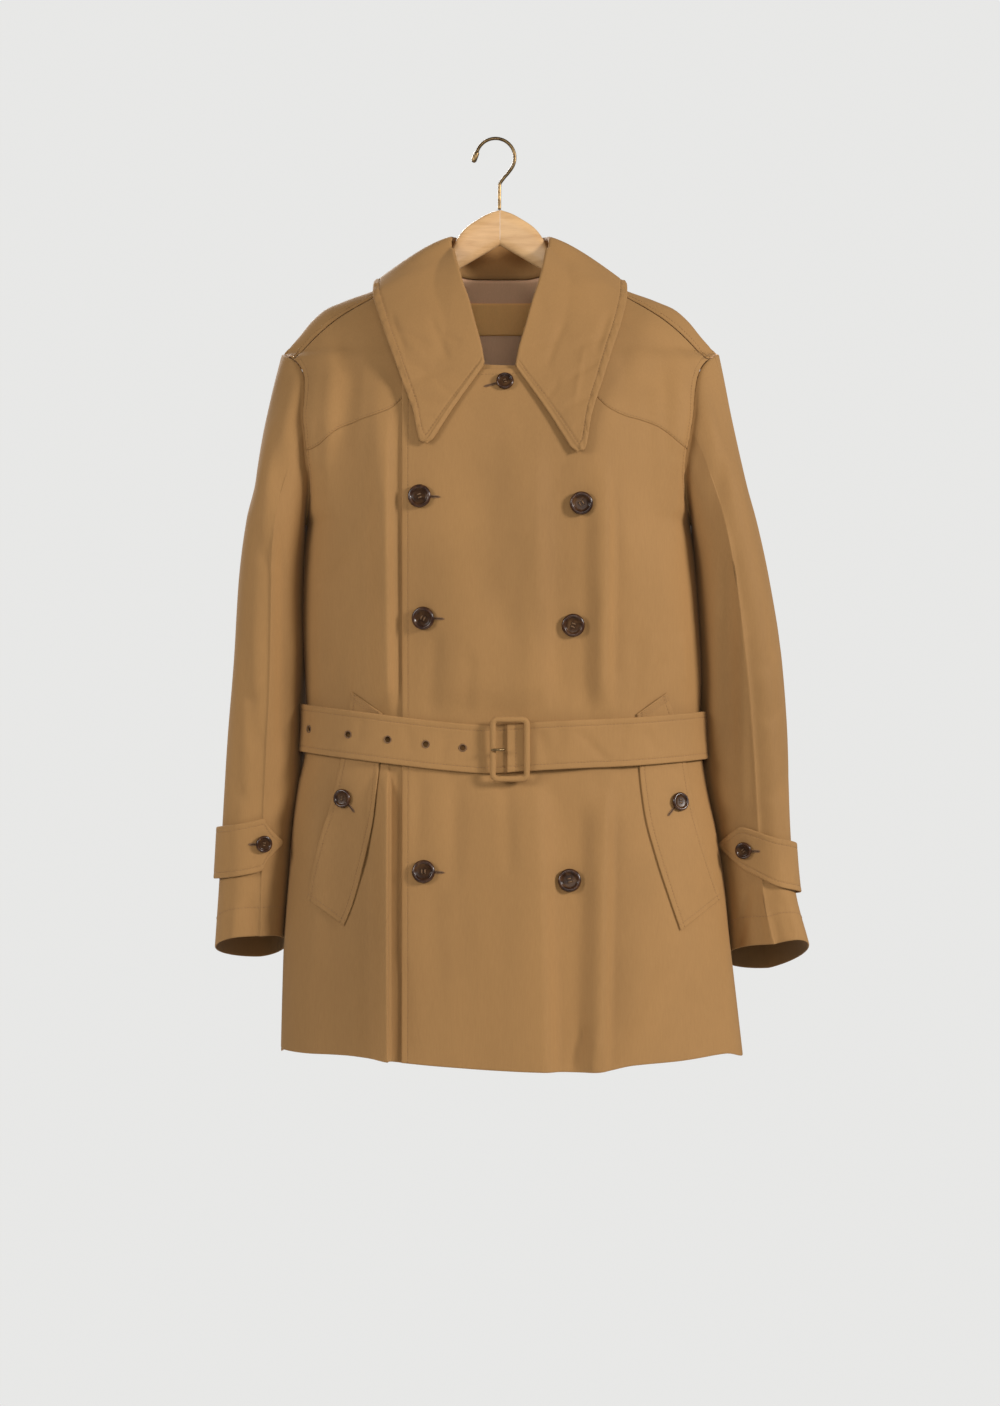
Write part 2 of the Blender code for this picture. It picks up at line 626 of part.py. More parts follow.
def back_column(column):
    """Points of one column of the back, from the hem over the shoulder to the front seam."""
    points = []
    for z in [BACK_HEM_Z] + LOWER_ROWS:
        x = float(column_x(column, z))
        points.append((x, float(back_y(x, z)), z))
    over_shoulder = abs(column) > NECK_HALF
    peak = crossing(ridge_z, column)
    end = math.pi / 2
    if not over_shoulder:
        top = float(smooth(BACK_NECK["reach"], BACK_NECK["z"], abs(column)))
        end = math.asin(min((top - CHEST_Z) / (peak - CHEST_Z), 1.0))
    shares = [step / BACK_HUMP_ROWS for step in range(1, BACK_HUMP_ROWS + 1)]
    if not over_shoulder:
        shares = [share * NECK_SHARE for share in shares]
        rest = (1 - NECK_SHARE) / BACK_OVER_ROWS
        shares += [NECK_SHARE + rest * step for step in range(1, BACK_OVER_ROWS + 1)]
    for share in shares:
        z = CHEST_Z + (peak - CHEST_Z) * math.sin(end * share)
        x = float(column_x(column, z))
        points.append((x, float(back_y(x, z)), z))
    if over_shoulder:
        seam = crossing(line_z(SHOULDER_SEAM), column) + CURVED_SEAM_GAP
        for step in range(1, BACK_OVER_ROWS + 1):
            z = peak + (seam - peak) * (step / BACK_OVER_ROWS) ** 2
            x = float(column_x(column, z))
            points.append((x, float(front_y(x, z)), z))
    return points


def back_grid():
    """The back's outer face, a row of the grid for each column of the cloth."""
    columns = [-name for name in BACK_COLUMNS] + [name for name in reversed(BACK_COLUMNS[:-1])]
    return columns, np.array([back_column(column) for column in columns])


def build_back(cloth):
    grid = back_grid()[1]
    grid[[0, -1], :, 1] += 0.5 * SEAM_GAP
    return make_object("back", *wall(grid, CLOTH, level_edge=(1, [0, -1])), cloth)


# ================================================================ sleeves
def sleeve_point(side, angle, along):
    """A point of the sleeve's outer face; 0 degrees is its outer edge, 90 its front."""
    rings = SLEEVES[side]

    def at(name):
        return smooth(rings["along"], rings[name], along)

    turn = np.radians(angle)
    to_outer, to_front = np.cos(turn), np.sin(turn)
    facing_front = to_front > 0
    power = np.where(facing_front, SLEEVE_CREASE[side], 1.0)
    outer_share = np.abs(to_outer) ** power
    depth_share = np.abs(to_front)
    middle_x = 0.5 * (at("front_x") + at("back_x"))
    middle_y = 0.5 * (at("front_y") + at("back_y"))
    middle_z = 0.5 * (at("front_z") + at("back_z"))
    end_x = np.where(to_outer > 0, at("outer_x"), at("inner_x"))
    end_y = np.where(to_outer > 0, OUTER_Y, at("inner_y"))
    end_z = np.where(to_outer > 0, at("outer_z"), at("inner_z"))
    face_x = np.where(facing_front, at("front_x"), at("back_x"))
    face_y = np.where(facing_front, at("front_y"), at("back_y"))
    face_z = np.where(facing_front, at("front_z"), at("back_z"))
    x = middle_x + outer_share * (end_x - middle_x) + depth_share * (face_x - middle_x)
    y = middle_y + outer_share * (end_y - middle_y) + depth_share * (face_y - middle_y)
    z = middle_z + outer_share * (end_z - middle_z) + depth_share * (face_z - middle_z)
    hole_z = TIP_Z + (ARMPIT_Z - TIP_Z) * (1 - to_outer) / 2
    hole_x = reach_at(side, hole_z)
    edge_front = smooth(SIDES["z"], SIDES["front"], hole_z)
    edge_back = smooth(SIDES["z"], SIDES["back"], hole_z)
    hole_y = np.where(facing_front, edge_front, edge_back)
    fade = ease(along / SLEEVE_BLEND)
    bend = np.exp(-((hole_z - TIP_Z + 6.0) / 14.0) ** 2)
    step_out = CURVED_SEAM_GAP * (1 + bend) + CAP_STEP * ease(along / 0.025) * (1 - fade)
    x = hole_x + step_out + (x - hole_x) * fade
    y = hole_y + (y - hole_y) * fade
    z = hole_z + (z - hole_z) * fade
    return np.stack(np.broadcast_arrays(side * x, y, z), axis=-1)


def build_sleeve(side, cloth):
    side_name = "left" if side == LEFT else "right"
    first, second = SLEEVE_SEAMS[side]
    spans = {"upper": (first + SLEEVE_GAP, second - SLEEVE_GAP),
             "under": (second + SLEEVE_GAP, first + 360 - SLEEVE_GAP)}
    for part, (start, end) in spans.items():
        step = (end - start) / (SLEEVE_COLUMNS - 1)
        angles = start + step * np.arange(-1, SLEEVE_COLUMNS + 1)
        wide = sleeve_point(side, angles[None, :], np.array(SLEEVE_RINGS)[:, None])
        normals = grid_normals(wide)[:, 1:-1]
        skin = wall(wide[:, 1:-1], CLOTH, side == RIGHT, level_edge=(0, [0]), normals=normals)
        make_object(f"sleeve_{side_name}_{part}", *skin, cloth)


def sleeve_along(side, angle, z):
    """Share of the way down the sleeve at which a line round it reaches height z."""
    low, high = 0.0, 1.0
    for _ in range(30):
        middle = 0.5 * (low + high)
        if float(sleeve_point(side, angle, middle)[2]) > z:
            low = middle
        else:
            high = middle
    return 0.5 * (low + high)


def sleeve_frame(side, angle, z):
    """Point and outward normal of the sleeve at an angle and height."""
    along = sleeve_along(side, angle, z)
    point = sleeve_point(side, angle, along)
    round_it = sleeve_point(side, angle + 2, along) - sleeve_point(side, angle - 2, along)
    down_it = sleeve_point(side, angle, min(along + 0.01, 1)) - sleeve_point(side, angle, along - 0.01)
    normal = np.cross(round_it, down_it) * side
    normal = normal / np.linalg.norm(normal)
    middle = sleeve_point(side, np.array([0.0, 90.0, 180.0, 270.0]), along).mean(axis=0)
    if np.dot(normal, point - middle) < 0:
        normal = -normal
    return point, normal


def strap_lift(side, angle):
    return STRAP_LIFT[side] + STRAP_BULGE * math.exp(-(angle / 32.0) ** 2)


def build_cuff_strap(side, cloth):
    side_name = "left" if side == LEFT else "right"
    shape = CUFF_STRAPS[side]
    tip = shape["angle"][-1]
    corner = shape["angle"][-2]
    angles = list(np.linspace(shape["angle"][0], corner, 15)) + list(np.linspace(corner, tip, 4))[1:]
    rows = []
    for angle in angles:
        top = float(np.interp(angle, shape["angle"], shape["top"]))
        low = float(np.interp(angle, shape["angle"], shape["low"]))
        lift = strap_lift(side, angle)
        line = []
        for share in np.linspace(0, 1, 5):
            point, normal = sleeve_frame(side, angle, top + (low - top) * share)
            line.append(point + normal * lift)
        rows.append(line)
    grid = np.array(rows)
    vertices, faces = wall(grid, DOUBLE, flip=side == LEFT)
    make_object(f"cuff_strap_{side_name}", vertices, faces, cloth)


# ================================================================ collar
def collar_line(side, station, part):
    shape = COLLAR[side]
    x, y, z = (smooth(shape["station"], shape[part + axis], station) for axis in ("_x", "_y", "_z"))
    return np.stack((side * x, y, z), axis=-1)


def clear_of_body(point, lift):
    """Move a point of the collar out until it stands clear of the coat beneath it."""
    x, y, z = point
    peak = float(ridge_z(x)) + lift
    if z >= peak:
        return point
    depth_name = "front" if y < 0 else "back"
    depth = abs(float(smooth(DEPTHS["z"], DEPTHS[depth_name], z))) + lift
    rise = max((z - CHEST_Z) / (peak - CHEST_Z), 0.0)
    wanted_y = depth * (1 - rise ** 2) ** HUMP_POWER
    if abs(y) >= wanted_y:
        return point
    wanted_rise = math.sqrt(max(1 - (abs(y) / depth) ** (1 / HUMP_POWER), 0.0))
    wanted_z = CHEST_Z + (peak - CHEST_Z) * wanted_rise
    if wanted_z - z < wanted_y - abs(y):
        return (x, y, wanted_z)
    return (x, math.copysign(wanted_y, y), z)


def build_collar(cloth):
    stations = [(RIGHT, s) for s in COLLAR_STATIONS] + [(LEFT, s) for s in reversed(COLLAR_STATIONS[:-1])]
    fall = []
    for side, station in stations:
        roll = collar_line(side, station, "roll")
        edge = collar_line(side, station, "edge")
        line = []
        for step in range(COLLAR_ROWS + 1):
            share = step / COLLAR_ROWS
            bow = COLLAR_BOW * math.sin(math.pi * share ** 0.7)
            point = roll + (edge - roll) * share
            forward = -1.0 if station < 5.5 else 1.0
            blend = float(ease((abs(station - 5.5)) / 1.6))
            point = point + np.array([0, forward * bow * blend, bow * (1 - 0.6 * blend)])
            line.append(clear_of_body(tuple(point), COLLAR_LIFT))
        fall.append(line)
    fall = np.array(fall)
    under_roll = fall[:, 0] + grid_normals(fall)[:, 0] * (DOUBLE + LAYER_GAP)
    stand = []
    for (side, station), head in zip(stations, under_roll):
        if station >= STAND_START:
            foot = neck_seam_point(side, station)
            stand.append([foot + (head - foot) * step / STAND_ROWS for step in range(STAND_ROWS + 1)])
    make_object("collar_fall", *wall(fall, DOUBLE, flip=True), cloth)
    make_object("collar_stand", *wall(stand, CLOTH), cloth)


def neck_seam_point(side, station):
    """Foot of the stand, just over the neckline: up the front neck, then across the back."""
    share = (station - STAND_START) / (10.0 - STAND_START)
    turn = 0.15
    if share < turn:
        reach = float(np.interp(share, [0, turn], [59.0, NECK_HALF]))
        z = float(smooth(FRONT_NECK["reach"], FRONT_NECK["z"], reach))
        y = float(front_y(side * reach, z)) - 0.5 * FRONT_LIFT * (side == LEFT)
    else:
        reach = float(np.interp(share, [turn, 0.52, 1], [NECK_HALF, 47.0, 0.0]))
        z = float(smooth(BACK_NECK["reach"], BACK_NECK["z"], reach))
        y = float(back_y(side * reach, z))
    rise = float(np.interp(reach, STAND_FOOT["reach"], STAND_FOOT["rise"]))
    return np.array([side * reach, y, z + rise])


# ================================================================ inside of the neck
def inside_layer(low, high, half, depth):
    """The back's own points below the neck seam, moved in by this depth."""
    columns, grid = back_grid()
    inner = grid - grid_normals(grid) * depth
    keep = [index for index, column in enumerate(columns) if abs(column) <= half]
    middle = inner[columns.index(0)]
    rows = [row for row in range(len(middle)) if low <= middle[row][2] <= high]
    return inner[keep][:, rows]


def build_inside(lining, cloth):
    grid = inside_layer(LINING_LOW, 0.0, LINING_HALF, CLOTH + LAYER_GAP)
    grid[:, -1] += (grid[:, -2] - grid[:, -1]) * 0.08
    make_object("back_lining", *wall(grid, LINING), lining)
    grid = inside_layer(LINING_LOW, 0.0, LINING_HALF, CLOTH + LINING + 2 * LAYER_GAP)
    lines = []
    for line in grid[1:-1]:
        heights = np.linspace(BAND_LOW, BAND_TOP, 4)
        lines.append([[np.interp(z, line[:, 2], line[:, axis]) for axis in (0, 1)] + [z] for z in heights])
    make_object("neck_band", *wall(lines, LINING), cloth)


# ================================================================ pockets
def build_welt(side, cloth):
    side_name = "left" if side == LEFT else "right"
    shape = WELTS[side]
    rows = []
    for share in np.linspace(0, 1, WELT_ROWS + 1):
        inner = [float(np.interp(share, shape["share"], shape[name])) for name in ("inner_x", "inner_z")]
        outer = [float(np.interp(share, shape["share"], shape[name])) for name in ("outer_x", "outer_z")]
        line = []
        for across in np.linspace(0, 1, WELT_COLUMNS + 1):
            x = side * (inner[0] + (outer[0] - inner[0]) * across)
            z = inner[1] + (outer[1] - inner[1]) * across
            line.append(surface_point(x, z, WELT_LIFT, side))
        rows.append(line)
    make_object(f"pocket_welt_{side_name}", *wall(rows, WELT_THICK, flip=side == LEFT), cloth)


def surface_normal(x, z, side):
    """Outward normal of the front that shows at a place."""
    step = 2.0

    def depth(px, pz):
        return float(front_y(px, pz)) - (float(overlap_lift(px)) if side == LEFT else 0.0)

    slope_x = (depth(x + step, z) - depth(x - step, z)) / (2 * step)
    slope_z = (depth(x, z + step) - depth(x, z - step)) / (2 * step)
    normal = np.array([slope_x, -1.0, slope_z])
    return normal / np.linalg.norm(normal)


def surface_point(x, z, lift, side):
    """A point this far out from the front that shows."""
    under = float(overlap_lift(x)) if side == LEFT else 0.0
    point = np.array([x, float(front_y(x, z)) - under, z])
    return tuple(point + surface_normal(x, z, side) * lift)


# ================================================================ belt
def belt_z(x, at_back):
    middle = float(smooth(BELT_LINE["x"], BELT_LINE["z"], x))
    if not at_back:
        return middle
    share = min(abs(x) / 205.0, 1.0)
    return BELT_BACK_Z + (middle - BELT_BACK_Z) * share ** 4


def belt_frame(x, at_back, z):
    """A point of the coat's smooth waist and its outward direction in plan."""
    reach = float(reach_at(x, z))
    power = BACK_ROUND if at_back else FRONT_ROUND
    depth = float(smooth(DEPTHS["z"], DEPTHS["back" if at_back else "front"], z))
    share = min(abs(x) / reach, 1.0)
    height = (1 - share ** power) ** 0.5
    y = SIDE_Y + (depth - SIDE_Y) * height
    slope = 0.5 * power * share ** (power - 1) / max(height, 1e-4) / reach * abs(depth - SIDE_Y)
    direction = np.array([math.copysign(slope, x), 1.0 if at_back else -1.0])
    direction = direction / np.linalg.norm(direction)
    return np.array([x, y]), direction


def belt_path():
    """Stations round the waist: share of the side's reach, and whether it is the back."""
    turn = np.radians(np.linspace(90, 0, 12))
    front_left = [(math.sin(angle), False) for angle in turn[:-1]]
    front_left = [(share, flag) for share, flag in front_left if share * 209 > BELT_FOLD_X + 8]
    start = [(BELT_FOLD_X / 209.0, False)]
    extra = [(value / 209.0, False) for value in (30.0,)]
    path = start + extra + [item for item in reversed(front_left) if item[0] * 209 > 40]
    back = [(math.sin(angle), True) for angle in np.radians(np.linspace(82, -82, 16))]
    front_right = [(math.sin(angle), False) for angle in np.radians(np.linspace(-90, 0, 13))]
    tail = [(value / 209.0, False) for value in (22.0, 44.0, BELT_TAIL_X)]
    return path, path + back + front_right + tail


def build_belt(cloth):
    before_back, path = belt_path()
    rows = []
    for index, (share, at_back) in enumerate(path):
        nominal = share * (209.0 if share > 0 else 202.0)
        lift = BELT_LIFT
        if index < len(before_back):
            over_tail = float(ease((BELT_FOLD_END - nominal) / (BELT_FOLD_END - BELT_TAIL_X)))
            lift += (BELT_FOLD_LIFT - BELT_LIFT) * over_tail
        line = []
        for step in range(BELT_ROWS + 1):
            z = belt_z(nominal, at_back) + BELT_HALF * (1 - 2 * step / BELT_ROWS)
            x = share * float(reach_at(share, z))
            if abs(share) < 0.6:
                x = nominal
            place, direction = belt_frame(x, at_back, z)
            place = place + direction * lift
            line.append((place[0], place[1], z))
        rows.append(line)
    belt = make_object("belt", *wall(rows, DOUBLE), cloth)
    for number, x in enumerate(BELT_HOLES_X):
        z = belt_z(x, False)
        place, direction = belt_frame(x, False, z)
        middle = (place[0], place[1], z)
        cutter = make_cylinder(f"hole_{number + 1}", BELT_HOLE_RADIUS, 24.0, 10, middle, direction)
        cutter.hide_render = True
        cutter.display_type = "WIRE"
        cut = belt.modifiers.new(f"hole_{number + 1}", "BOOLEAN")
        cut.operation = "DIFFERENCE"
        cut.solver = "EXACT"
        cut.object = cutter
    return belt


def make_cylinder(name, radius, length, sides, middle, direction):
    """A plain closed cylinder about a level direction, for cutting."""
    along = np.array([direction[0], direction[1], 0.0])
    across = np.array([-direction[1], direction[0], 0.0])
    up = np.array([0.0, 0.0, 1.0])
    rings = []
    for end in (-0.5, 0.5):
        ring = []
        for side in range(sides):
            angle = 2 * math.pi * side / sides
            offset = across * math.cos(angle) + up * math.sin(angle)
            ring.append(np.array(middle) + along * length * end + offset * radius)
        rings.append(ring)
    return make_object(name, *closed_rings(rings), bpy.data.materials[0])


def build_buckle(cover, metal):
    """The covered frame as a rounded loop, and the prong that rests on it."""
    half_x = BUCKLE_WIDTH / 2 - BUCKLE_BAR / 2
    half_z = BUCKLE_HEIGHT / 2 - BUCKLE_BAR / 2
    corner = BUCKLE_CORNER - BUCKLE_BAR / 2
    face = float(smooth(DEPTHS["z"], DEPTHS["front"], BUCKLE_Z)) - BUCKLE_LIFT - BUCKLE_DEPTH / 2
    loop = []
    for quarter in range(4):
        sign_x = (1, -1, -1, 1)[quarter]
        sign_z = (1, 1, -1, -1)[quarter]
        for step in range(5):
            angle = math.pi / 2 * (quarter + step / 4)
            loop.append((sign_x * (half_x - corner) + corner * math.cos(angle),
                         sign_z * (half_z - corner) + corner * math.sin(angle),
                         math.cos(angle), math.sin(angle)))
    rings = []
    for x, z, out_x, out_z in loop:
        ring = []
        for side in range(8):
            angle = 2 * math.pi * (side + 0.5) / 8
            off = BUCKLE_BAR / 2 * math.cos(angle)
            ring.append((BUCKLE_X + x + out_x * off, face + BUCKLE_DEPTH / 2 * math.sin(angle),
                         BUCKLE_Z + z + out_z * off))
        rings.append(ring)
    make_object("buckle_frame", *closed_rings(rings, cap_ends=False), cover)
    front = face - BUCKLE_DEPTH / 2 - PRONG_RADIUS - 0.4
    path = [(BELT_FOLD_X - 2.2, front + 2.6), (BELT_FOLD_X - 6, front + 0.8), (-2.0, front), (-6.0, front),
            (-9.0, front + 0.1)]
    rings = []
    for index, (x, y) in enumerate(path):
        radius = PRONG_RADIUS * (0.75 if index == len(path) - 1 else 1.0)
        rings.append([(x, y + radius * math.cos(a), BUCKLE_Z - 0.5 + radius * math.sin(a))
                      for a in np.linspace(0, 2 * math.pi, 9)[:-1]])
    make_object("buckle_prong", *closed_rings(rings), metal)


# ================================================================ buttons
def button_profile(radius, height):
    """Half section of a rimmed button: distance from its axis and height above its foot."""
    return [(radius * 0.80, 0.0), (radius, height * 0.35), (radius * 0.97, height * 0.8),
            (radius * 0.86, height), (radius * 0.70, height * 0.9), (radius * 0.60, height * 0.55)]


def build_button(name, size, place, normal, material):
    radius, height = size
    turns = np.linspace(0, 2 * math.pi, BUTTON_SIDES + 1)[:-1]
    rings = [[(r * math.cos(a), r * math.sin(a), h) for a in turns]
             for r, h in button_profile(radius, height)]
    vertices, faces = closed_rings(rings)
    turn = Vector((0, 0, 1)).rotation_difference(Vector([float(v) for v in normal])).to_matrix()
    foot = Vector([float(v) for v in place])
    placed = [tuple(turn @ Vector(vertex) + foot) for vertex in vertices.tolist()]
    make_object(name, placed, faces, material, smooth_angle=50)


def build_buttons(horn):
    def on_front(name, size, x, z, lift, side):
        normal = surface_normal(x, z, side)
        centre = np.array(surface_point(x, z, lift, side))
        reach = size[0] * 0.8
        height = 0.0
        for turn in np.linspace(0, 2 * math.pi, 9)[:-1]:
            rim = surface_point(x + reach * math.cos(turn), z + reach * math.sin(turn), lift, side)
            height = max(height, float(np.dot(np.array(rim) - centre, normal)))
        build_button(name, size, centre + normal * (height + BUTTON_GAP), normal, horn)

    on_front("button_collar", COLLAR_BUTTON, *COLLAR_BUTTON_AT, 0.0, LEFT)
    for number, (x, z) in enumerate(FRONT_BUTTONS):
        on_front(f"button_front_{number + 1}", FRONT_BUTTON, x, z, 0.0, LEFT)
    for side, side_name in ((LEFT, "left"), (RIGHT, "right")):
        x, z = POCKET_BUTTONS[side]
        on_front(f"button_pocket_{side_name}", POCKET_BUTTON, x, z, WELT_LIFT, side)
        angle, z = CUFF_BUTTONS[side]
        point, normal = sleeve_frame(side, angle, z)
        lift = strap_lift(side, angle) + CUFF_BUTTON_GAP[side]
        build_button(f"button_cuff_{side_name}", CUFF_BUTTON, point + normal * lift, normal, horn)


# ================================================================ hanger
def build_hanger(wood, bronze):
    for side, side_name in ((LEFT, "left"), (RIGHT, "right")):
        rings = []
        for reach in HANGER_STATIONS:
            top = float(smooth(HANGER_TOP["reach"], HANGER_TOP["z"], reach))
            low = float(smooth(HANGER_LOW["reach"], HANGER_LOW["z"], reach))
            taper = 1.0 if reach < 170 else math.sqrt(max(1 - ((reach - 170) / 17.5) ** 2, 0.05))
            sweep = -HANGER_SWEEP * (reach / 186.0) ** 2
            ring = []
            for step in range(HANGER_SIDES):
                angle = 2 * math.pi * (step + 0.5) / HANGER_SIDES
                c, s = math.cos(angle), math.sin(angle)
                shape = (abs(c) ** HANGER_SQUARE + abs(s) ** HANGER_SQUARE) ** (-1 / HANGER_SQUARE)
                ring.append((side * reach, sweep + HANGER_HALF_THICK * taper * c * shape,
                             0.5 * (top + low) + 0.5 * (top - low) * s * shape))
            rings.append(ring)
        make_object(f"hanger_arm_{side_name}", *closed_rings(rings), wood, smooth_angle=50)
    build_hook(bronze)


def hook_points():
    """Centre line of the hook: up the stem, round the crown and down to the open end."""
    points = [(HOOK_STEM_X, HOOK_FOOT_Z), (HOOK_STEM_X, -60.0), (HOOK_STEM_X + 0.2, HOOK_BEND_Z)]
    points += [(3.0, -41.0), (8.5, -34.5)]
    for degrees in np.linspace(-32, 163, 17):
        angle = math.radians(degrees)
        points.append((HOOK_CENTRE[0] + HOOK_RADIUS * math.cos(angle),
                       HOOK_CENTRE[1] + HOOK_RADIUS * math.sin(angle)))
    return points


def wire_ring(centre, out, radius, sides):
    """A ring about a point of the hook's line; out is level with the hook and across the line."""
    return [(centre[0] + out[0] * radius * math.cos(a), radius * math.sin(a),
             centre[1] + out[1] * radius * math.cos(a))
            for a in np.linspace(0, 2 * math.pi, sides + 1)[:-1]]


def tube_rings(points, radius, sides):
    """Rings of a round tube about a line in the plane of the hook."""
    rings = []
    for index, (x, z) in enumerate(points):
        before = points[max(index - 1, 0)]
        after = points[min(index + 1, len(points) - 1)]
        angle = math.atan2(after[1] - before[1], after[0] - before[0])
        rings.append(wire_ring((x, z), (-math.sin(angle), math.cos(angle)), radius, sides))
    return rings


def build_hook(bronze):
    points = hook_points()
    make_object("hook", *closed_rings(tube_rings(points, HOOK_WIRE / 2, 10)), bronze, smooth_angle=60)
    end, before = np.array(points[-1]), np.array(points[-2])
    heading = (end - before) / np.linalg.norm(end - before)
    start = end + heading * 0.4
    stations = [(0.0, 0.75), (0.8, 1.0), (8.5, 1.0), (10.0, 0.8), (10.8, 0.4)]
    out = (-heading[1], heading[0])
    rings = [wire_ring(start + heading * distance, out, HOOK_CAP_RADIUS * share, 10)
             for distance, share in stations]
    make_object("hook_tip", *closed_rings(rings), bronze, smooth_angle=50)


# ================================================================ the whole coat
def main():
    for old in list(bpy.data.objects):
        bpy.data.objects.remove(old, do_unlink=True)
    shell = make_material("shell_cloth", TAN, 0.85)
    lining = make_material("lining_cloth", TAUPE, 0.6)
    wood = make_material("beech", BEECH, 0.5)
    bronze = make_material("bronze_wire", BRONZE, 0.35, 1.0)
    horn = make_material("horn", HORN, 0.25)

    build_back(shell)
    build_front("front_left", LEFT, LEFT_OVERLAP_COLUMNS, 1.0, shell)
    build_front("front_right", RIGHT, RIGHT_OVERLAP_COLUMNS, -3.0, shell)
    for side, side_name in ((LEFT, "left"), (RIGHT, "right")):
        build_yoke(f"front_yoke_{side_name}", side, shell)
        build_sleeve(side, shell)
        build_cuff_strap(side, shell)
        build_welt(side, shell)
    build_collar(shell)
    build_inside(lining, shell)
    build_belt(shell)
    build_buckle(shell, bronze)
    build_buttons(horn)
    build_hanger(wood, bronze)


main()
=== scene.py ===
"""A short double-breasted trench coat, buttoned and belted on its wooden hanger.

The tables hold the coat's own sizes in millimetres, measured from its centre plane; +Z is up,
the front faces -Y and the wearer's left is +X. The origin is the inner crown of the hook.
"""
import math

import bmesh
import bpy
import numpy as np
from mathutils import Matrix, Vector


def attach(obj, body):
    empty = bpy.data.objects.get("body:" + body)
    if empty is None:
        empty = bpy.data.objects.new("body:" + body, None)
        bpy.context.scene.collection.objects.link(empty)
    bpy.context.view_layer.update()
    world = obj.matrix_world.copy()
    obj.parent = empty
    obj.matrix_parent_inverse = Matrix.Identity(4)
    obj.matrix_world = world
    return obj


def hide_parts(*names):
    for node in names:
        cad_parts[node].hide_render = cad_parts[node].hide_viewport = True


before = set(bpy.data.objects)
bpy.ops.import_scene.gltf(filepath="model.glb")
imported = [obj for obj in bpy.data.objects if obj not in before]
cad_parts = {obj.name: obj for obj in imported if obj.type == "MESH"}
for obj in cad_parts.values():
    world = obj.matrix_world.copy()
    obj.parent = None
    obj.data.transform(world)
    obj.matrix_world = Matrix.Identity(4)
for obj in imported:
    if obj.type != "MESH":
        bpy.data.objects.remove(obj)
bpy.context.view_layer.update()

MM = 0.001
CENTRE_X = 4.7            # the coat's centre plane, from the hook's inner crown
LEFT, RIGHT = 1.0, -1.0   # the wearer's sides along X
SIDE_WORDS = {LEFT: "left", RIGHT: "right"}

# ---------------------------------------------------------------- cloth and its layers
CLOTH = 1.6               # a single layer of the shell cloth with its lining
CLOTH_STEP = 4.1          # spacing of the grids' rows and columns
DOUBLE = 2.4              # collar, belt, straps and welts, sewn double
FRONT_LIFT = 2.6          # the top front lies this far out from the front beneath
WELT_LIFT = 2.2           # outer face of a pocket welt from the front it lies on
BELT_LIFT = 7.0           # outer face of the belt from the coat
BELT_FOLD_LIFT = 10.0     # outer face where the buckle end lies over the tail
COLLAR_LIFT = 6.6         # outer face of the collar leaf from the front beneath

# ---------------------------------------------------------------- body
SIDE_Y = -25.0            # depth of the side seams
CHEST_Z = -330.0          # above this height the body rounds over towards the shoulder
HUMP_POWER = 0.625        # how full the shoulder is in section
FRONT_ROUND = 2.7         # how square the front is in plan
BACK_ROUND = 2.4
CORE_X = 130.0            # columns inside this keep their place, the rest follow the sides
NOMINAL_SIDE = 200.0      # a column's name at the side edge
NECK_HALF = 62.0          # where the neckline meets the shoulder seam
OVERLAP_LEFT_EDGE = -99.5  # front edge of the left front, which lies on top
OVERLAP_RIGHT_EDGE = 92.0  # front edge of the right front, hidden beneath
OVERLAP_END = 128.0       # here the left front is back at its own depth
SEAM = 0.06               # half of what is left open between two sewn panels
YOKE_DEPTH = 130.0        # length of the yoke's cloth from its seam to the shoulder's
LOWER_TOP = -352.0        # below this height the panels' rows are level
UPPER_ROWS = 22           # rows of the fronts above it
CREASE_COLUMNS = np.arange(111.0, 125.0)      # extra columns of the right front, where it folds
HUMP_ROWS, OVER_ROWS = 45, 13                 # rows of the back up to the ridge and over it
BODY_BOW = 85.0           # how far the front bows out, for the even spacing of its columns
HEM_Z = -950.0            # usual height of the hem
ARMHOLE_STITCH = 8.5      # distance of each row of stitches from its seam or edge
YOKE_STITCH = 2.2
SHOULDER_STITCH = 6.5
EDGE_STITCH = 6.5
NECK_STITCH = 6.0


def table(names, rows):
    """Named columns from the rows of a short table."""
    return {name: np.array(column, float) for name, column in zip(names.split(), zip(*rows))}


SIDES = table("z left right front back", [
    (-954, 252.0, 227.5, -25, -25), (-893, 245.0, 226.0, -25, -25), (-832, 238.0, 224.0, -25, -25),
    (-771, 232.0, 219.5, -25, -25), (-719, 224.0, 215.5, -25, -25), (-675, 214.5, 210.0, -25, -25),
    (-640, 209.5, 202.5, -25, -25), (-605, 208.0, 200.5, -25, -25), (-560, 209.0, 202.5, -25, -25),
    (-496, 206.0, 205.0, -25, -25), (-431, 201.0, 203.0, -25, -25), (-404, 197.0, 200.0, -25, -25),
    (-392, 194.0, 198.0, -42, 4), (-376, 190.5, 195.5, -54, 26), (-359, 189.0, 195.0, -62, 38),
    (-340, 190.0, 197.5, -67, 45), (-317, 194.0, 199.5, -68, 48), (-293, 198.0, 202.0, -64, 46),
    (-271, 200.0, 201.0, -57, 42), (-255, 203.0, 201.5, -49, 36), (-243, 207.5, 205.5, -40, 29),
    (-234, 214.5, 212.5, -31, 22), (-228, 222.0, 221.0, -18, 12), (-224, 227.0, 226.0, 0, 0),
])
ARMPIT_Z, TIP_Z = -404.0, -224.0          # lowest and highest point of the armhole

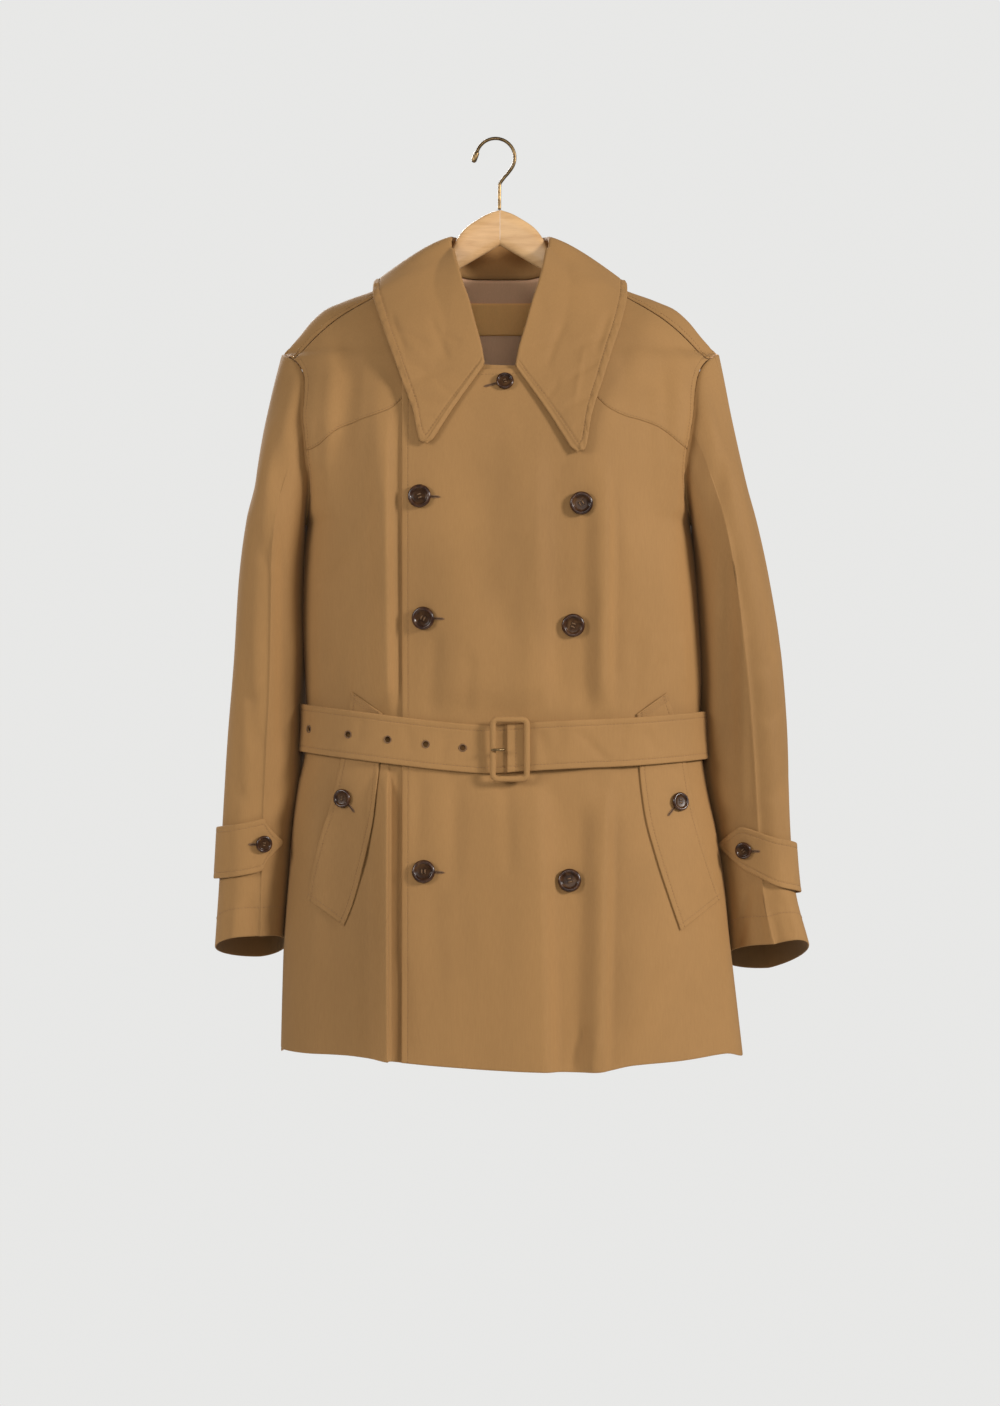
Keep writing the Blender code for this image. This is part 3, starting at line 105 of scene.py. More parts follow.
# The same depths as the body between them feels them, without the step at the armpit
FLANKS = table("z front back", [
    (-954, -25, -25), (-600, -25, -25), (-480, -32, -14), (-400, -45, 12), (-340, -59, 33), (-293, -62, 44),
    (-271, -57, 42), (-255, -49, 36), (-243, -40, 29), (-234, -31, 22), (-228, -18, 12), (-224, 0, 0),
])

DEPTHS = table("z front back", [
    (-958, -122, 72), (-850, -119, 66), (-760, -112, 56), (-700, -105, 47), (-660, -101.5, 42),
    (-625, -100, 41), (-590, -101.5, 44), (-500, -108, 54), (-420, -113, 61), (-350, -112, 64),
    (-300, -107, 65), (-250, -99, 65), (-142, -96, 66),
])

RIDGE = table("reach z", [
    (0, -100), (30, -105), (47, -112), (55, -117), (62, -121), (80, -131), (107, -145), (133, -158),
    (157, -166.5), (167, -170.5), (181, -176.5), (197, -190), (210, -206), (226, -224),
])
SHOULDER_SEAM = table("reach z", [
    (62, -121.5), (80, -133.5), (97, -146), (132, -166.5), (167, -188), (190, -207), (214, -231),
])
FRONT_NECK = table("reach z", [
    (0, -248), (19, -247), (31, -206), (39, -182), (47, -160), (56, -134), (62, -121.5),
])
BACK_NECK = table("reach z", [
    (0, -142), (25, -142), (47, -138), (57, -126), (62, -121),
])
YOKE_SEAM = table("reach z", [
    (31, -210), (47, -221), (62, -236), (80, -256), (97, -277), (110, -289), (125, -296), (143, -301),
    (163, -309), (188, -327), (202, -334),
])
HEM = table("x z", [
    (-227, -946), (-158, -946), (-115, -950), (-57, -955), (-9, -958), (51, -960), (97, -961), (135, -955),
    (182, -952), (233, -948), (252, -954),
])

# Soft folds: where the lowest line starts and ends, how it fades at both ends, how far it
# spreads to the wearer's right and left of that line, and how deep it lies (- is a ridge)
FOLDS = table("x_top z_top x_low z_low fade_top fade_low spread_right spread_left depth", [
    (-116, -330, -114, -600, 190, 50, 24, 13, -13.5), (-114, -655, -113, -1010, 50, 20, 21, 3, -14.5),
    (-158, -215, -167, -375, 50, 110, 19, 22, 8.0), (165, -240, 163, -430, 60, 90, 38, 24, 10.0),
    (-36, -400, -38, -640, 110, 50, 66, 60, -8.0), (36, -350, 40, -640, 110, 50, 80, 18, -7.0),
    (64, -380, 62, -640, 70, 50, 18, 40, 3.0), (109, -370, 107, -640, 90, 50, 27, 8, -10.5),
    (-172, -420, -172, -630, 60, 50, 28, 34, 4.5), (40, -680, 46, -1000, 60, 60, 90, 16, -9.0),
    (66, -690, 68, -1020, 60, 90, 18, 40, 3.0), (108, -690, 102, -960, 50, 70, 28, 10, -10.5),
    (-168, -690, -176, -1000, 60, 20, 26, 36, 5.0), (-196, -700, -206, -1000, 60, 20, 26, 40, -4.0),
    (214, -760, 231, -985, 90, 20, 26, 12, 4.5),
])
BACK_FOLDS = table("x_top z_top x_low z_low fade_top fade_low spread_right spread_left depth", [
    (-112, -230, -104, -640, 70, 60, 30, 26, -9.0), (-58, -360, -66, -640, 90, 40, 26, 24, -8.0),
    (30, -300, 24, -640, 110, 50, 30, 28, -9.5), (96, -250, 104, -640, 80, 60, 28, 30, -10.0),
    (-128, -660, -142, -990, 60, 20, 30, 26, -10.0), (-40, -670, -46, -990, 80, 20, 26, 30, -11.5),
    (44, -665, 52, -990, 60, 20, 26, 30, -9.0), (122, -665, 138, -990, 80, 20, 32, 26, -11.5),
])
CINCH_Z = -627.0          # height of the belt's middle
SEARCH_TOP = -90.0        # above every seam of the shoulder
BELT_CINCH = 44.0         # half height of the stretch that the belt presses flat

YOKE_INNER = 30.0         # the yoke's column at the neck
NECK_SHARE = 0.88         # below the neck the last rows crowd towards the seam

# ---------------------------------------------------------------- sleeves
SLEEVE_NAMES = ("along outer_x outer_z inner_x inner_y inner_z "
                "front_x front_y front_z back_x back_y back_z")
RIGHT_SLEEVE = table(SLEEVE_NAMES, [
    (0.00, 226, -224, 200, -15, -404, 200, -68, -300, 201, 48, -300),
    (0.06, 238, -262, 203, -6, -417, 214, -78, -332, 213, 56, -332),
    (0.14, 249, -314, 201, 6, -438, 225, -82, -372, 222, 62, -372),
    (0.21, 254, -358, 201, 14, -462, 231, -82, -407, 228, 65, -408),
    (0.28, 264, -398, 201.5, 18, -488, 234, -80, -442, 233, 66, -442),
    (0.38, 272.5, -460, 201.5, 21, -530, 235, -76, -495, 238, 66, -496),
    (0.50, 278, -545, 204, 27, -600, 237, -70, -572, 243, 66, -572),
    (0.62, 284.5, -625, 205, 26, -665, 241, -64, -645, 247, 64, -645),
    (0.74, 288.5, -690, 213.5, 20, -715, 244, -58, -703, 250, 62, -703),
    (0.86, 292.5, -762, 219, 18, -777, 246, -54, -768, 253, 60, -770),
    (1.00, 298, -843, 225, 18, -843, 247, -52, -829, 258, 60, -859),
])
LEFT_SLEEVE = table(SLEEVE_NAMES, [
    (0.00, 227, -224, 197, -15, -404, 197, -68, -300, 198, 48, -300),
    (0.06, 238, -270, 200, -6, -418, 213, -78, -332, 212, 56, -332),
    (0.14, 248, -322, 200.5, 6, -440, 224, -82, -376, 224, 62, -376),
    (0.21, 257, -362, 201, 14, -464, 232, -82, -410, 232, 65, -410),
    (0.28, 268, -402, 202, 18, -490, 239, -80, -445, 240, 66, -446),
    (0.38, 281, -462, 203.5, 21, -532, 247, -76, -497, 248, 66, -498),
    (0.50, 294, -545, 203, 27, -600, 256, -70, -572, 258, 66, -574),
    (0.62, 300, -628, 208, 26, -668, 262, -64, -648, 264, 64, -650),
    (0.74, 302, -700, 220, 20, -722, 266, -58, -710, 268, 62, -712),
    (0.86, 307, -775, 229.5, 18, -790, 272, -54, -780, 274, 60, -784),
    (1.00, 323, -843, 236, 18, -858, 284, -50, -837, 288, 60, -871),
])
SLEEVES = {LEFT: LEFT_SLEEVE, RIGHT: RIGHT_SLEEVE}
OUTER_Y = -15.0           # depth of the sleeve's outer edge
FLAT_OUTER, FLAT_INNER = 0.68, 0.50           # 1 is round, less makes the front face flatter
SLEEVE_CREASE = {LEFT: 1.12, RIGHT: 1.45}     # the rounder section of the cuff straps' angles
SLEEVE_RIDGE = 2.8        # height of the pressed ridge down the sleeve's front
RIDGE_OUTER, RIDGE_INNER = 2.4, 15.0          # how far the ridge spreads to both sides
RIDGE_START, RIDGE_FADE = 0.12, 0.16          # shares of the sleeve where and over which it rises
SLEEVE_BLEND = 0.20       # share of the sleeve over which the armhole's shape fades out
SLEEVE_SEAMS = {LEFT: (18.0, 164.0), RIGHT: (-14.0, 164.0)}   # degrees round the sleeve
CAP_STEP = 2.0            # the sleeve's head stands this far out past the armhole seam
CAP_TUCK = -1.0           # and starts this far inside the armhole's edge
CAP_DROP = 1.3            # and this far under it
CAP_STEP_RUN, CAP_DROP_RUN = 0.03, 0.02       # shares of the sleeve over which both fade
SLEEVE_LENGTH = 630.0
RIDGE_COLUMNS = (-8.0, -5.5, -3.8, -2.4, -1.3, -0.5, 0.0, 0.9, 2.2, 4.0)   # about the ridge
HEM_STITCH = 30.0         # the sleeve's hem is stitched this far up

STRAP_NAMES = "angle top low"
CUFF_STRAPS = {
    RIGHT: table(STRAP_NAMES, [(-125, -723, -777), (-60, -721, -775), (0, -718, -772),
                               (40, -714, -768), (88, -706, -761), (132, -731, -734)]),
    LEFT: table(STRAP_NAMES, [(-125, -742, -794), (-60, -740, -792), (0, -735, -787),
                              (60, -727, -778), (114, -715, -761), (146, -734, -737)]),
}
STRAP_LIFT = {LEFT: 4.15, RIGHT: 4.2}         # outer face of the strap from the sleeve
STRAP_BULGE = 2.6         # further out where the strap turns round the sleeve's outer edge
RIDGE_BULGE = 1.0         # and where it passes over the sleeve's ridge
STRAP_SMOOTHING = 6
STRAP_BODY, STRAP_NOSE, STRAP_WIDTH = 185.0, 36.0, 54.0   # length without and in its point, width
STRAP_STITCH = 6.0

# ---------------------------------------------------------------- collar
COLLAR_NAMES = "station roll_x roll_y roll_z edge_x edge_y edge_z"
COLLAR_BACK = [           # behind the shoulders both halves are alike
    (7.0, 51, 16, -99, 122, 36, -164), (8.0, 38, 36, -98, 82, 62, -183),
    (9.0, 18, 45, -98, 38, 70, -191), (10.0, 0, 47, -98, 0, 72, -193),
]
COLLAR = {
    RIGHT: table(COLLAR_NAMES, [
        (0.0, 17, -95, -247, 73, -110, -331),
        (0.4, 20, -89, -230, 81, -110, -324),
        (1.0, 26, -80, -210, 88, -106, -295),
        (2.0, 33, -67, -187, 101, -98, -257),
        (3.0, 40, -55, -170, 114, -86, -221),
        (4.0, 45, -42, -152, 123, -70, -195),
        (5.0, 50, -26, -128, 132, -40, -163),
        (6.0, 53, -6, -103, 132.5, -4, -150),
        *COLLAR_BACK,
    ]),
    LEFT: table(COLLAR_NAMES, [
        (0.0, 17, -95, -250, 77, -110, -339),
        (0.4, 20, -89, -235, 86, -110, -332),
        (1.0, 27, -80, -212, 92, -106, -302),
        (2.0, 34, -67, -192, 104, -98, -262),
        (3.0, 41, -55, -172, 115, -86, -227),
        (4.0, 46, -42, -152, 124, -70, -200),
        (5.0, 50, -26, -130, 132, -40, -166),
        (6.0, 53, -6, -103, 133, -4, -151),
        *COLLAR_BACK,
    ]),
}
COLLAR_BOW = 6.0          # how far the leaf stands off a straight line from roll to edge
COLLAR_STEP = 3.0         # spacing of the collar's rows
LEAF_DEPTH = 96.0         # from the roll line to the edge
STAND_POINTS = 8          # grid points up the stand, and as many round the roll
STAND_SHORT = 11.0        # where no stand shows, the collar turns under this far
COLLAR_SEAM = 8.4         # width of the collar's stitched border
COLLAR_TIP = 13.0         # how far from its tips the collar's corner is rounded
ROLL_RADIUS = 2.9         # the collar turns over at its roll line on this radius
STAND_START = 5.5         # collar station where the stand begins to show
STAND_FOOT = table("reach rise", [(0, 0.7), (44, 0.7), (57, 3.5), (62, 3.5)])   # over the neckline

# ---------------------------------------------------------------- inside of the neck
LINING = 1.0              # thickness of the lining
LAYER_GAP = 0.8
LINING_HALF = 55.0        # half width of the lining that the neck shows
LINING_TOP, LINING_LOW = -138.0, -346.0
BAND_TOP, BAND_LOW = -166.0, -199.0

# ---------------------------------------------------------------- pockets
WELT_NAMES = "share inner_x inner_z outer_x outer_z"
WELTS = {
    LEFT: table(WELT_NAMES, [
        (0.00, 139, -600, 170, -578),
        (0.25, 141, -650, 187, -637),
        (0.45, 147, -702, 197, -694),
        (0.65, 158, -745, 208, -735),
        (0.85, 174, -794, 220, -772),
        (1.00, 183, -820, 226, -790),
    ]),
    RIGHT: table(WELT_NAMES, [
        (0.00, 119, -599, 151, -577),
        (0.25, 122, -648, 160, -637),
        (0.45, 127, -702, 172, -690),
        (0.65, 136, -745, 184, -728),
        (0.85, 149, -793, 193, -768),
        (1.00, 158, -815, 196, -789),
    ]),
}
WELT_THICK, WELT_LENGTH, WELT_WIDTH = 1.5, 226.0, 42.0
WELT_STITCH = 5.5
WELT_TACKS = (1.6, 3.6, 5.6, 7.6)           # rows of tacking across the welt's upper end

# ---------------------------------------------------------------- belt and buckle
BELT_LINE = table("x z", [
    (-205, -613.5), (-170, -618.5), (-130, -623.5), (-99, -627.5), (-60, -632), (-12, -635.5), (30, -633),
    (77, -630.5), (126, -628.5), (180, -624.5), (212, -621.5),
])
BELT_BACK_Z = -616.0      # height of the belt's middle at the back
BELT_HALF = 24.5          # half its width
BELT_STITCH = 6.0
BELT_SIDE = {LEFT: 209.0, RIGHT: 202.0}       # how far out it lies at both sides
BELT_START_RUN, BELT_TAIL_RUN = 250.0, 330.0  # from fold to left side, from right side to tail
BELT_BACK_TURN, BELT_BACK_COLUMNS = 86.0, 100  # degrees to both sides of its run across the back
BELT_BACK_HALF = 205.0    # half width of the stretch over which the back's height evens out
BELT_FOLD_X = 7.0         # where the buckle end is folded, seen in the buckle's window
BELT_TAIL_X = 66.0        # the tail's end, hidden behind the buckle end
BELT_FOLD_END = 104.0     # here the buckle end is back on the coat
BELT_HOLES_X = [-191.0, -152.0, -112.5, -74.5, -37.5]
BELT_HOLE_RADIUS, EYELET_THREAD = 3.0, 0.62
HOLE_CUT = (4.0, -6.0)    # how far each hole is cut, outwards and inwards from the belt's face

BUCKLE_X, BUCKLE_Z = 10.0, -635.5
BUCKLE_WIDTH, BUCKLE_HEIGHT = 40.5, 66.0
BUCKLE_BAR, BUCKLE_DEPTH = 6.0, 4.6
BUCKLE_CORNER = 8.0
BUCKLE_SIDES = 20         # round the frame's section
CORNER_STEPS = 8          # along each corner and each side of the frame
BUCKLE_LIFT = 11.4        # inner face of the buckle from the coat
PRONG_RADIUS = 1.3

# ---------------------------------------------------------------- buttons
FRONT_BUTTON = (11.8, 4.2)          # radius and height
POCKET_BUTTON = (9.6, 3.8)
COLLAR_BUTTON = (9.0, 3.8)
CUFF_BUTTON = (8.8, 3.8)
FRONT_BUTTONS = [(-81, -380), (-77, -503), (-77, -759), (82, -387), (74, -510), (70, -768)]
COLLAR_BUTTON_AT = (5, -263)
POCKET_BUTTONS = {LEFT: (182, -690), RIGHT: (-159, -686)}
CUFF_BUTTONS = {LEFT: (111.0, -740.0), RIGHT: (86.0, -733.0)}   # degrees round, height
BUTTON_GAP = 0.75         # between a button and the cloth beneath
# Buttonholes: where each starts and ends, across and up from its button
COLLAR_HOLE = ((-3, 0), (-21, -5))
FRONT_HOLE = ((-4, 0.5), (21, -1.0))
POCKET_HOLE = ((3, -3), (12, -14))
CUFF_HOLE = (3, 24)                 # degrees round the sleeve
HOLE_POINTS = 13
CUFF_BUTTON_GAP = {LEFT: 0.85, RIGHT: 0.9}

# ---------------------------------------------------------------- hanger
HANGER_TOP = table("reach z", [
    (0, -73), (12, -77), (23, -83), (36, -92), (44, -102), (49, -111), (55, -119), (65, -128.5), (80, -138),
    (107, -151.5), (133, -164.5), (160, -175), (178, -183), (186, -190),
])
HANGER_LOW = table("reach z", [
    (0, -110), (24, -124), (48, -138), (65, -148), (80, -155), (107, -168), (133, -180), (160, -191),
    (178, -197), (186, -193),
])
HANGER_HALF_THICK = 6.0
HANGER_SWEEP = 3.0        # how far forward the arm's end is
HANGER_SQUARE = 3.2       # how square the arm is in section
HANGER_EVEN, HANGER_NOSE = 178, 8             # reach of the even part and of the rounded end
HANGER_TAPER, HANGER_TAPER_RUN = 170, 17.5    # here the arm starts to get thinner, over this run

HOOK_WIRE = 3.5           # the wire's diameter
HOOK_CENTRE = (-4.7, -18.45)
HOOK_RADIUS = 20.2
HOOK_STEM = [(-0.6, -72.6), (-0.6, -60.0), (-0.4, -47.0), (3.0, -41.0), (8.5, -34.5)]   # from the wood
HOOK_TURN, HOOK_POINTS = (-32, 163), 90       # degrees round the crown
HOOK_CAP_RADIUS = 2.8
HOOK_CAP = [(-0.6, 0.62), (-0.5, 0.80), (0.1, 0.96), (0.8, 1.0), (4.0, 1.03), (8.2, 1.0), (9.4, 0.90),
            (10.3, 0.70), (10.9, 0.40), (11.1, 0.12)]     # place along the cap and its width

# Small creases: where each starts and ends, how far it spreads to the wearer's right and left
# of its line, and how deep it lies (- is a ridge)
WRINKLE_NAMES = "x1 z1 x2 z2 wide_right wide_left depth"
FRONT_WRINKLES = table(WRINKLE_NAMES, [
    (17, -330, 20, -430, 22, 26, -1.6), (-66, -520, -70, -600, 7, 9, 1.8),
    (-30, -540, -34, -604, 8, 6, 1.6), (44, -500, 40, -604, 9, 10, 1.9), (92, -470, 90, -600, 10, 8, 1.8),
    (142, -520, 138, -600, 8, 9, 1.8), (170, -540, 150, -598, 5, 6, 1.8),
    (186, -520, 190, -570, 5, 5, -1.6), (118, -560, 112, -600, 5, 5, -1.4),
    (-150, -500, -156, -590, 9, 7, 2.2), (-172, -530, -176, -588, 7, 7, 1.6),
    (-190, -470, -150, -440, 7, 6, 1.8), (-168, -650, -178, -740, 8, 7, 1.8),
    (-136, -655, -142, -760, 10, 8, 2.0), (-80, -662, -84, -740, 7, 8, 1.6),
    (-45, -664, -46, -770, 8, 9, 1.9), (6, -668, 10, -760, 8, 7, 1.7), (46, -664, 44, -742, 7, 8, 1.5),
    (100, -660, 104, -760, 8, 8, 1.6), (176, -655, 186, -740, 8, 8, 1.5),
    (-170, -240, -172, -330, 8, 10, -2.2), (-148, -230, -152, -400, 9, 8, 2.0),
    (-124, -250, -128, -380, 10, 8, -1.4), (130, -230, 134, -420, 10, 12, 1.8),
    (158, -260, 166, -400, 8, 9, -1.8), (186, -330, 170, -400, 6, 6, 1.4),
    (-186, -300, -182, -390, 5, 6, 1.6), (74, -330, 60, -360, 6, 6, 1.0),
    (-20, -440, 10, -520, 16, 14, 1.4), (84, -912, 72, -962, 4, 5, 2.2), (98, -925, 92, -962, 4, 5, -2.2),
    (160, -860, 120, -930, 8, 8, 1.4), (-96, -850, -92, -950, 7, 7, 1.4), (196, -880, 204, -950, 7, 8, 1.6),
    (-186, -860, -196, -944, 7, 8, 1.6),
])
BACK_WRINKLES = table(WRINKLE_NAMES, [
    (-150, -520, -156, -590, 9, 8, 1.8), (-84, -500, -88, -592, 8, 9, 1.8),
    (-20, -520, -22, -590, 9, 8, 1.6), (62, -510, 66, -592, 8, 9, 1.8), (132, -500, 138, -590, 9, 8, 1.8),
    (-168, -650, -176, -740, 8, 8, 1.8), (-94, -648, -98, -750, 8, 9, 1.8), (-4, -646, 2, -760, 9, 8, 1.9),
    (84, -648, 88, -740, 8, 8, 1.7), (164, -650, 172, -742, 8, 8, 1.8),
    (-120, -250, -60, -300, 16, 14, 1.8), (120, -250, 60, -310, 16, 14, 1.8),
])
SLEEVE_WRINKLES = table(WRINKLE_NAMES, [
    (-238, -270, -222, -380, 9, 10, 2.2), (-256, -400, -240, -450, 8, 9, 2.0),
    (-266, -520, -250, -640, 7, 8, 2.2), (-222, -420, -224, -640, 5, 6, 2.6),
    (-212, -520, -216, -700, 4, 4, -1.6), (-276, -570, -250, -590, 7, 8, 1.8),
    (-280, -660, -262, -690, 7, 7, 1.6), (-258, -790, -246, -850, 5, 6, 2.0),
    (-272, -800, -276, -846, 5, 6, -1.8), (238, -270, 222, -380, 10, 9, 2.2),
    (232, -440, 236, -640, 9, 9, 2.6), (246, -500, 250, -700, 6, 6, -2.0),
    (220, -480, 222, -640, 6, 7, -1.8), (288, -520, 270, -560, 9, 8, 2.0),
    (292, -590, 272, -610, 8, 7, 1.8), (300, -660, 280, -690, 7, 7, 1.6), (256, -780, 246, -850, 5, 5, 2.4),
    (272, -776, 280, -840, 5, 6, -2.2), (290, -790, 300, -830, 5, 5, 1.8),
])
SLEEVE_BACK_WRINKLES = table(WRINKLE_NAMES, [
    (-250, -300, -226, -400, 9, 10, 2.4), (-270, -500, -236, -530, 8, 9, 2.2),
    (-274, -560, -238, -600, 8, 9, 2.4), (250, -300, 226, -400, 9, 10, 2.4),
    (286, -500, 248, -540, 8, 9, 2.2), (292, -570, 250, -604, 8, 9, 2.4),
])
COLLAR_WRINKLES = table(WRINKLE_NAMES, [
    (-112, -190, -96, -230, 5, 3, 1.6), (-102, -238, -72, -254, 2.2, 4, 1.4),
    (-86, -258, -50, -248, 2.2, 5, 1.3), (-70, -196, -52, -240, 6, 3, 1.4),
    (-94, -276, -60, -284, 2, 3.4, 1.2), (-114, -204, -72, -224, 2.2, 4, 1.2),
    (-62, -212, -40, -222, 2, 3.4, 1.1), (-84, -296, -64, -303, 2, 3, 0.9),
    (-106, -222, -92, -262, 2.2, 3, -1.0), (-66, -262, -44, -280, 2.4, 3, 1.0),
    (-90, -228, -78, -236, 2, 3, -1.1), (-98, -262, -84, -268, 2, 3, 0.9), (112, -190, 98, -232, 5, 3, 1.6),
    (102, -240, 68, -262, 4, 2.2, 1.4), (66, -200, 48, -246, 5, 3, 1.4), (96, -276, 64, -292, 4, 2.2, 1.2),
    (114, -212, 76, -228, 4, 2.2, 1.1), (56, -222, 32, -226, 3, 2, 1.0), (90, -306, 74, -313, 3, 2, 0.9),
    (86, -226, 76, -284, 3.4, 2.2, -1.1), (60, -262, 48, -282, 3, 2, 1.0),
])
COLLAR_BACK_WRINKLES = table(WRINKLE_NAMES, [
    (-60, -120, -52, -180, 8, 8, 1.0), (30, -120, 34, -180, 9, 8, 1.0), (84, -130, 76, -180, 8, 8, 1.0),
])
LINING_WRINKLES = table(WRINKLE_NAMES, [
    (-20, -205, -22, -260, 5, 5, -1.0), (14, -205, 12, -260, 5, 5, -0.9), (2, -168, 6, -198, 5, 5, -0.8),
])
BELT_WRINKLES = table(WRINKLE_NAMES, [
    (40, -616, 50, -650, 4, 4, 1.4), (62, -612, 56, -642, 4, 5, 1.2), (80, -618, 110, -648, 5, 4, 1.3),
    (104, -610, 96, -634, 4, 4, -1.0), (128, -612, 120, -638, 4, 4, 1.1), (150, -616, 160, -640, 5, 4, 1.0),
    (-140, -604, -146, -630, 5, 5, 0.9), (-96, -612, -90, -640, 4, 5, 0.8),
    (-54, -620, -60, -650, 5, 4, 0.9),
])


# ================================================================ curves and surfaces
def smooth(knots, values, at):
    """A smooth curve through the knots that never swings past them."""
    at = np.clip(np.asarray(at, float), knots[0], knots[-1])
    step = np.diff(knots)
    slope = np.diff(values) / step
    turn = slope[:-1] * slope[1:] > 0
    near = 2 * step[1:] + step[:-1]
    far = step[1:] + 2 * step[:-1]
    safe_left = np.where(turn, slope[:-1], 1.0)
    safe_right = np.where(turn, slope[1:], 1.0)
    inner = np.where(turn, (near + far) / (near / safe_left + far / safe_right), 0.0)
    tangent = np.concatenate(([slope[0]], inner, [slope[-1]]))
    cell = np.clip(np.searchsorted(knots, at, side="right") - 1, 0, len(step) - 1)
    t = (at - knots[cell]) / step[cell]
    rise = t * t * (3 - 2 * t)
    bend_in = t * (1 - t) ** 2 * step[cell] * tangent[cell]
    bend_out = t * t * (t - 1) * step[cell] * tangent[cell + 1]
    return values[cell] + (values[cell + 1] - values[cell]) * rise + bend_in + bend_out


def look_up(rows, name, at):
    """A column of a table as a smooth curve along the table's first column."""
    return smooth(next(iter(rows.values())), rows[name], at)


def line_z(line):
    """The height of a ridge or seam as a function of x."""
    return lambda x: look_up(line, "z", np.abs(x))


def ease(share):
    """0 below 0, 1 above 1 and a soft rise between."""
    share = np.clip(share, 0, 1)
    return share * share * (3 - 2 * share)


def unit(vectors):
    """Vectors of length 1 in the same directions."""
    return vectors / np.maximum(np.linalg.norm(vectors, axis=-1, keepdims=True), 1e-9)


def arc_length(line):
    """Distance of each point of a line from its first one, along the line."""
    return np.concatenate(([0], np.cumsum(np.linalg.norm(np.diff(line, axis=0), axis=1))))


def halved(low, high, is_short, steps):
    """Bounds closed in by halving on the place where is_short stops being true."""
    for _ in range(steps):
        middle = 0.5 * (low + high)
        short = is_short(middle)
        low = np.where(short, middle, low)
        high = np.where(short, high, middle)
    return low, high


def interpolated(at, knots, rows):
    """Rows of three values taken at places between their knots."""
    return np.stack([np.interp(at, knots, rows[:, axis]) for axis in range(3)], -1)


ridge_z, front_neck_z, back_neck_z = line_z(RIDGE), line_z(FRONT_NECK), line_z(BACK_NECK)
yoke_seam_z, shoulder_seam_z = line_z(YOKE_SEAM), line_z(SHOULDER_SEAM)


def reach_at(x, z):
    """How far the body reaches out on the side of x."""
    return np.where(np.asarray(x) < 0, look_up(SIDES, "right", z), look_up(SIDES, "left", z))


def column_x(name, z):
    """Where a grid column of this name is at a height."""
    beyond = np.maximum(np.abs(name) - CORE_X, 0) / (NOMINAL_SIDE - CORE_X)
    return np.sign(name) * (np.minimum(np.abs(name), CORE_X) + beyond * (reach_at(name, z) - CORE_X))


def fold_depth(folds, x, z):
    """How deep the folds press the cloth in; the belt flattens them."""
    total = np.zeros(np.broadcast(x, z).shape)
    for row in zip(*folds.values()):
        x_top, z_top, x_low, z_low, fade_top, fade_low, to_right, to_left, depth = row
        down = np.clip((z_top - z) / (z_top - z_low), 0, 1)
        off = x - (x_top + (x_low - x_top) * down)
        spread = np.where(off < 0, to_right, to_left)
        across = 0.5 + 0.5 * np.cos(np.pi * np.clip(off / spread, -1, 1))
        below_top = ease((z_top + 0.5 * fade_top - z) / fade_top)
        above_low = ease((z - z_low + 0.5 * fade_low) / fade_low)
        total = total + depth * across * below_top * above_low
    cinch = np.exp(-((z - CINCH_Z) / BELT_CINCH) ** 4)
    return total * (1 - 0.95 * cinch)


def body_face(x, z, face, roundness, folds, outward):
    """Depth of the body's outer face: flank, middle and folds, rounded over to the shoulder."""
    share = np.clip(np.abs(x) / reach_at(x, z), 0, 1)
    fullness = np.sqrt(np.clip(1 - share ** roundness, 0, 1))
    rise = np.clip((z - CHEST_Z) / (ridge_z(x) - CHEST_Z), 0, 1)
    over = (1 - rise ** 2) ** HUMP_POWER
    middle = look_up(DEPTHS, face, z) * over
    edge, flank = look_up(SIDES, face, z), look_up(FLANKS, face, z)
    inside = flank + (middle - flank) * fullness
    return inside + (edge - flank) * share ** 12 - outward * fold_depth(folds, x, z) * fullness * over


def front_y(x, z):
    return body_face(x, z, "front", FRONT_ROUND, FOLDS, -1.0)


def back_y(x, z):
    return body_face(x, z, "back", BACK_ROUND, BACK_FOLDS, 1.0)


def overlap_lift(x):
    """How far the left front lies out over the right one."""
    return FRONT_LIFT * ease((OVERLAP_END - x) / (OVERLAP_END - OVERLAP_RIGHT_EDGE))


def shown_front_y(x, z, side):
    """Depth of the front that shows on a side."""
    return front_y(x, z) - (overlap_lift(x) if side == LEFT else 0.0)


def crossing(height_of, names):
    """Heights at which grid columns meet a line given by its height at each x."""
    bounds = (np.full(np.shape(names), z) for z in (CHEST_Z, SEARCH_TOP))
    return 0.5 * sum(halved(*bounds, lambda z: z < height_of(column_x(names, z)), 40))


def wrinkles(lines, x, z):
    """How far soft creases press the cloth in, seen from the front or the back."""
    total = np.zeros(np.broadcast(x, z).shape)
    for x1, z1, x2, z2, wide_right, wide_left, depth in zip(*lines.values()):
        run = math.hypot(x2 - x1, z2 - z1)
        along_x, along_z = (x2 - x1) / run, (z2 - z1) / run
        along = (x - x1) * along_x + (z - z1) * along_z
        off = (x - x1) * -along_z + (z - z1) * along_x
        off = off if along_z < 0 else -off
        spread = np.where(off < 0, wide_right, wide_left)
        fade = min(0.35 * run, 40.0)
        ends = ease((along + 0.4 * fade) / fade) * ease((run - along + 0.4 * fade) / fade)
        total = total + depth * np.exp(-(off / spread) ** 2) * ends
    return total


# ================================================================ grids and shells
ALL_EDGES = ("first", "last", "start", "end")     # a grid's rows and columns at its edges
THIN_EDGE = 0.12          # thickness at a rounded edge, as a share of the cloth's
# Distances from an edge at which a grid has rows, close together as far as its stitches
BORDER = [0, 0.35, 0.8, 1.4, 2.2, 3.2, 4.4, 5.3, 6.0, 6.7, 7.6, 8.4, 9.2, 10.6, 12.6]


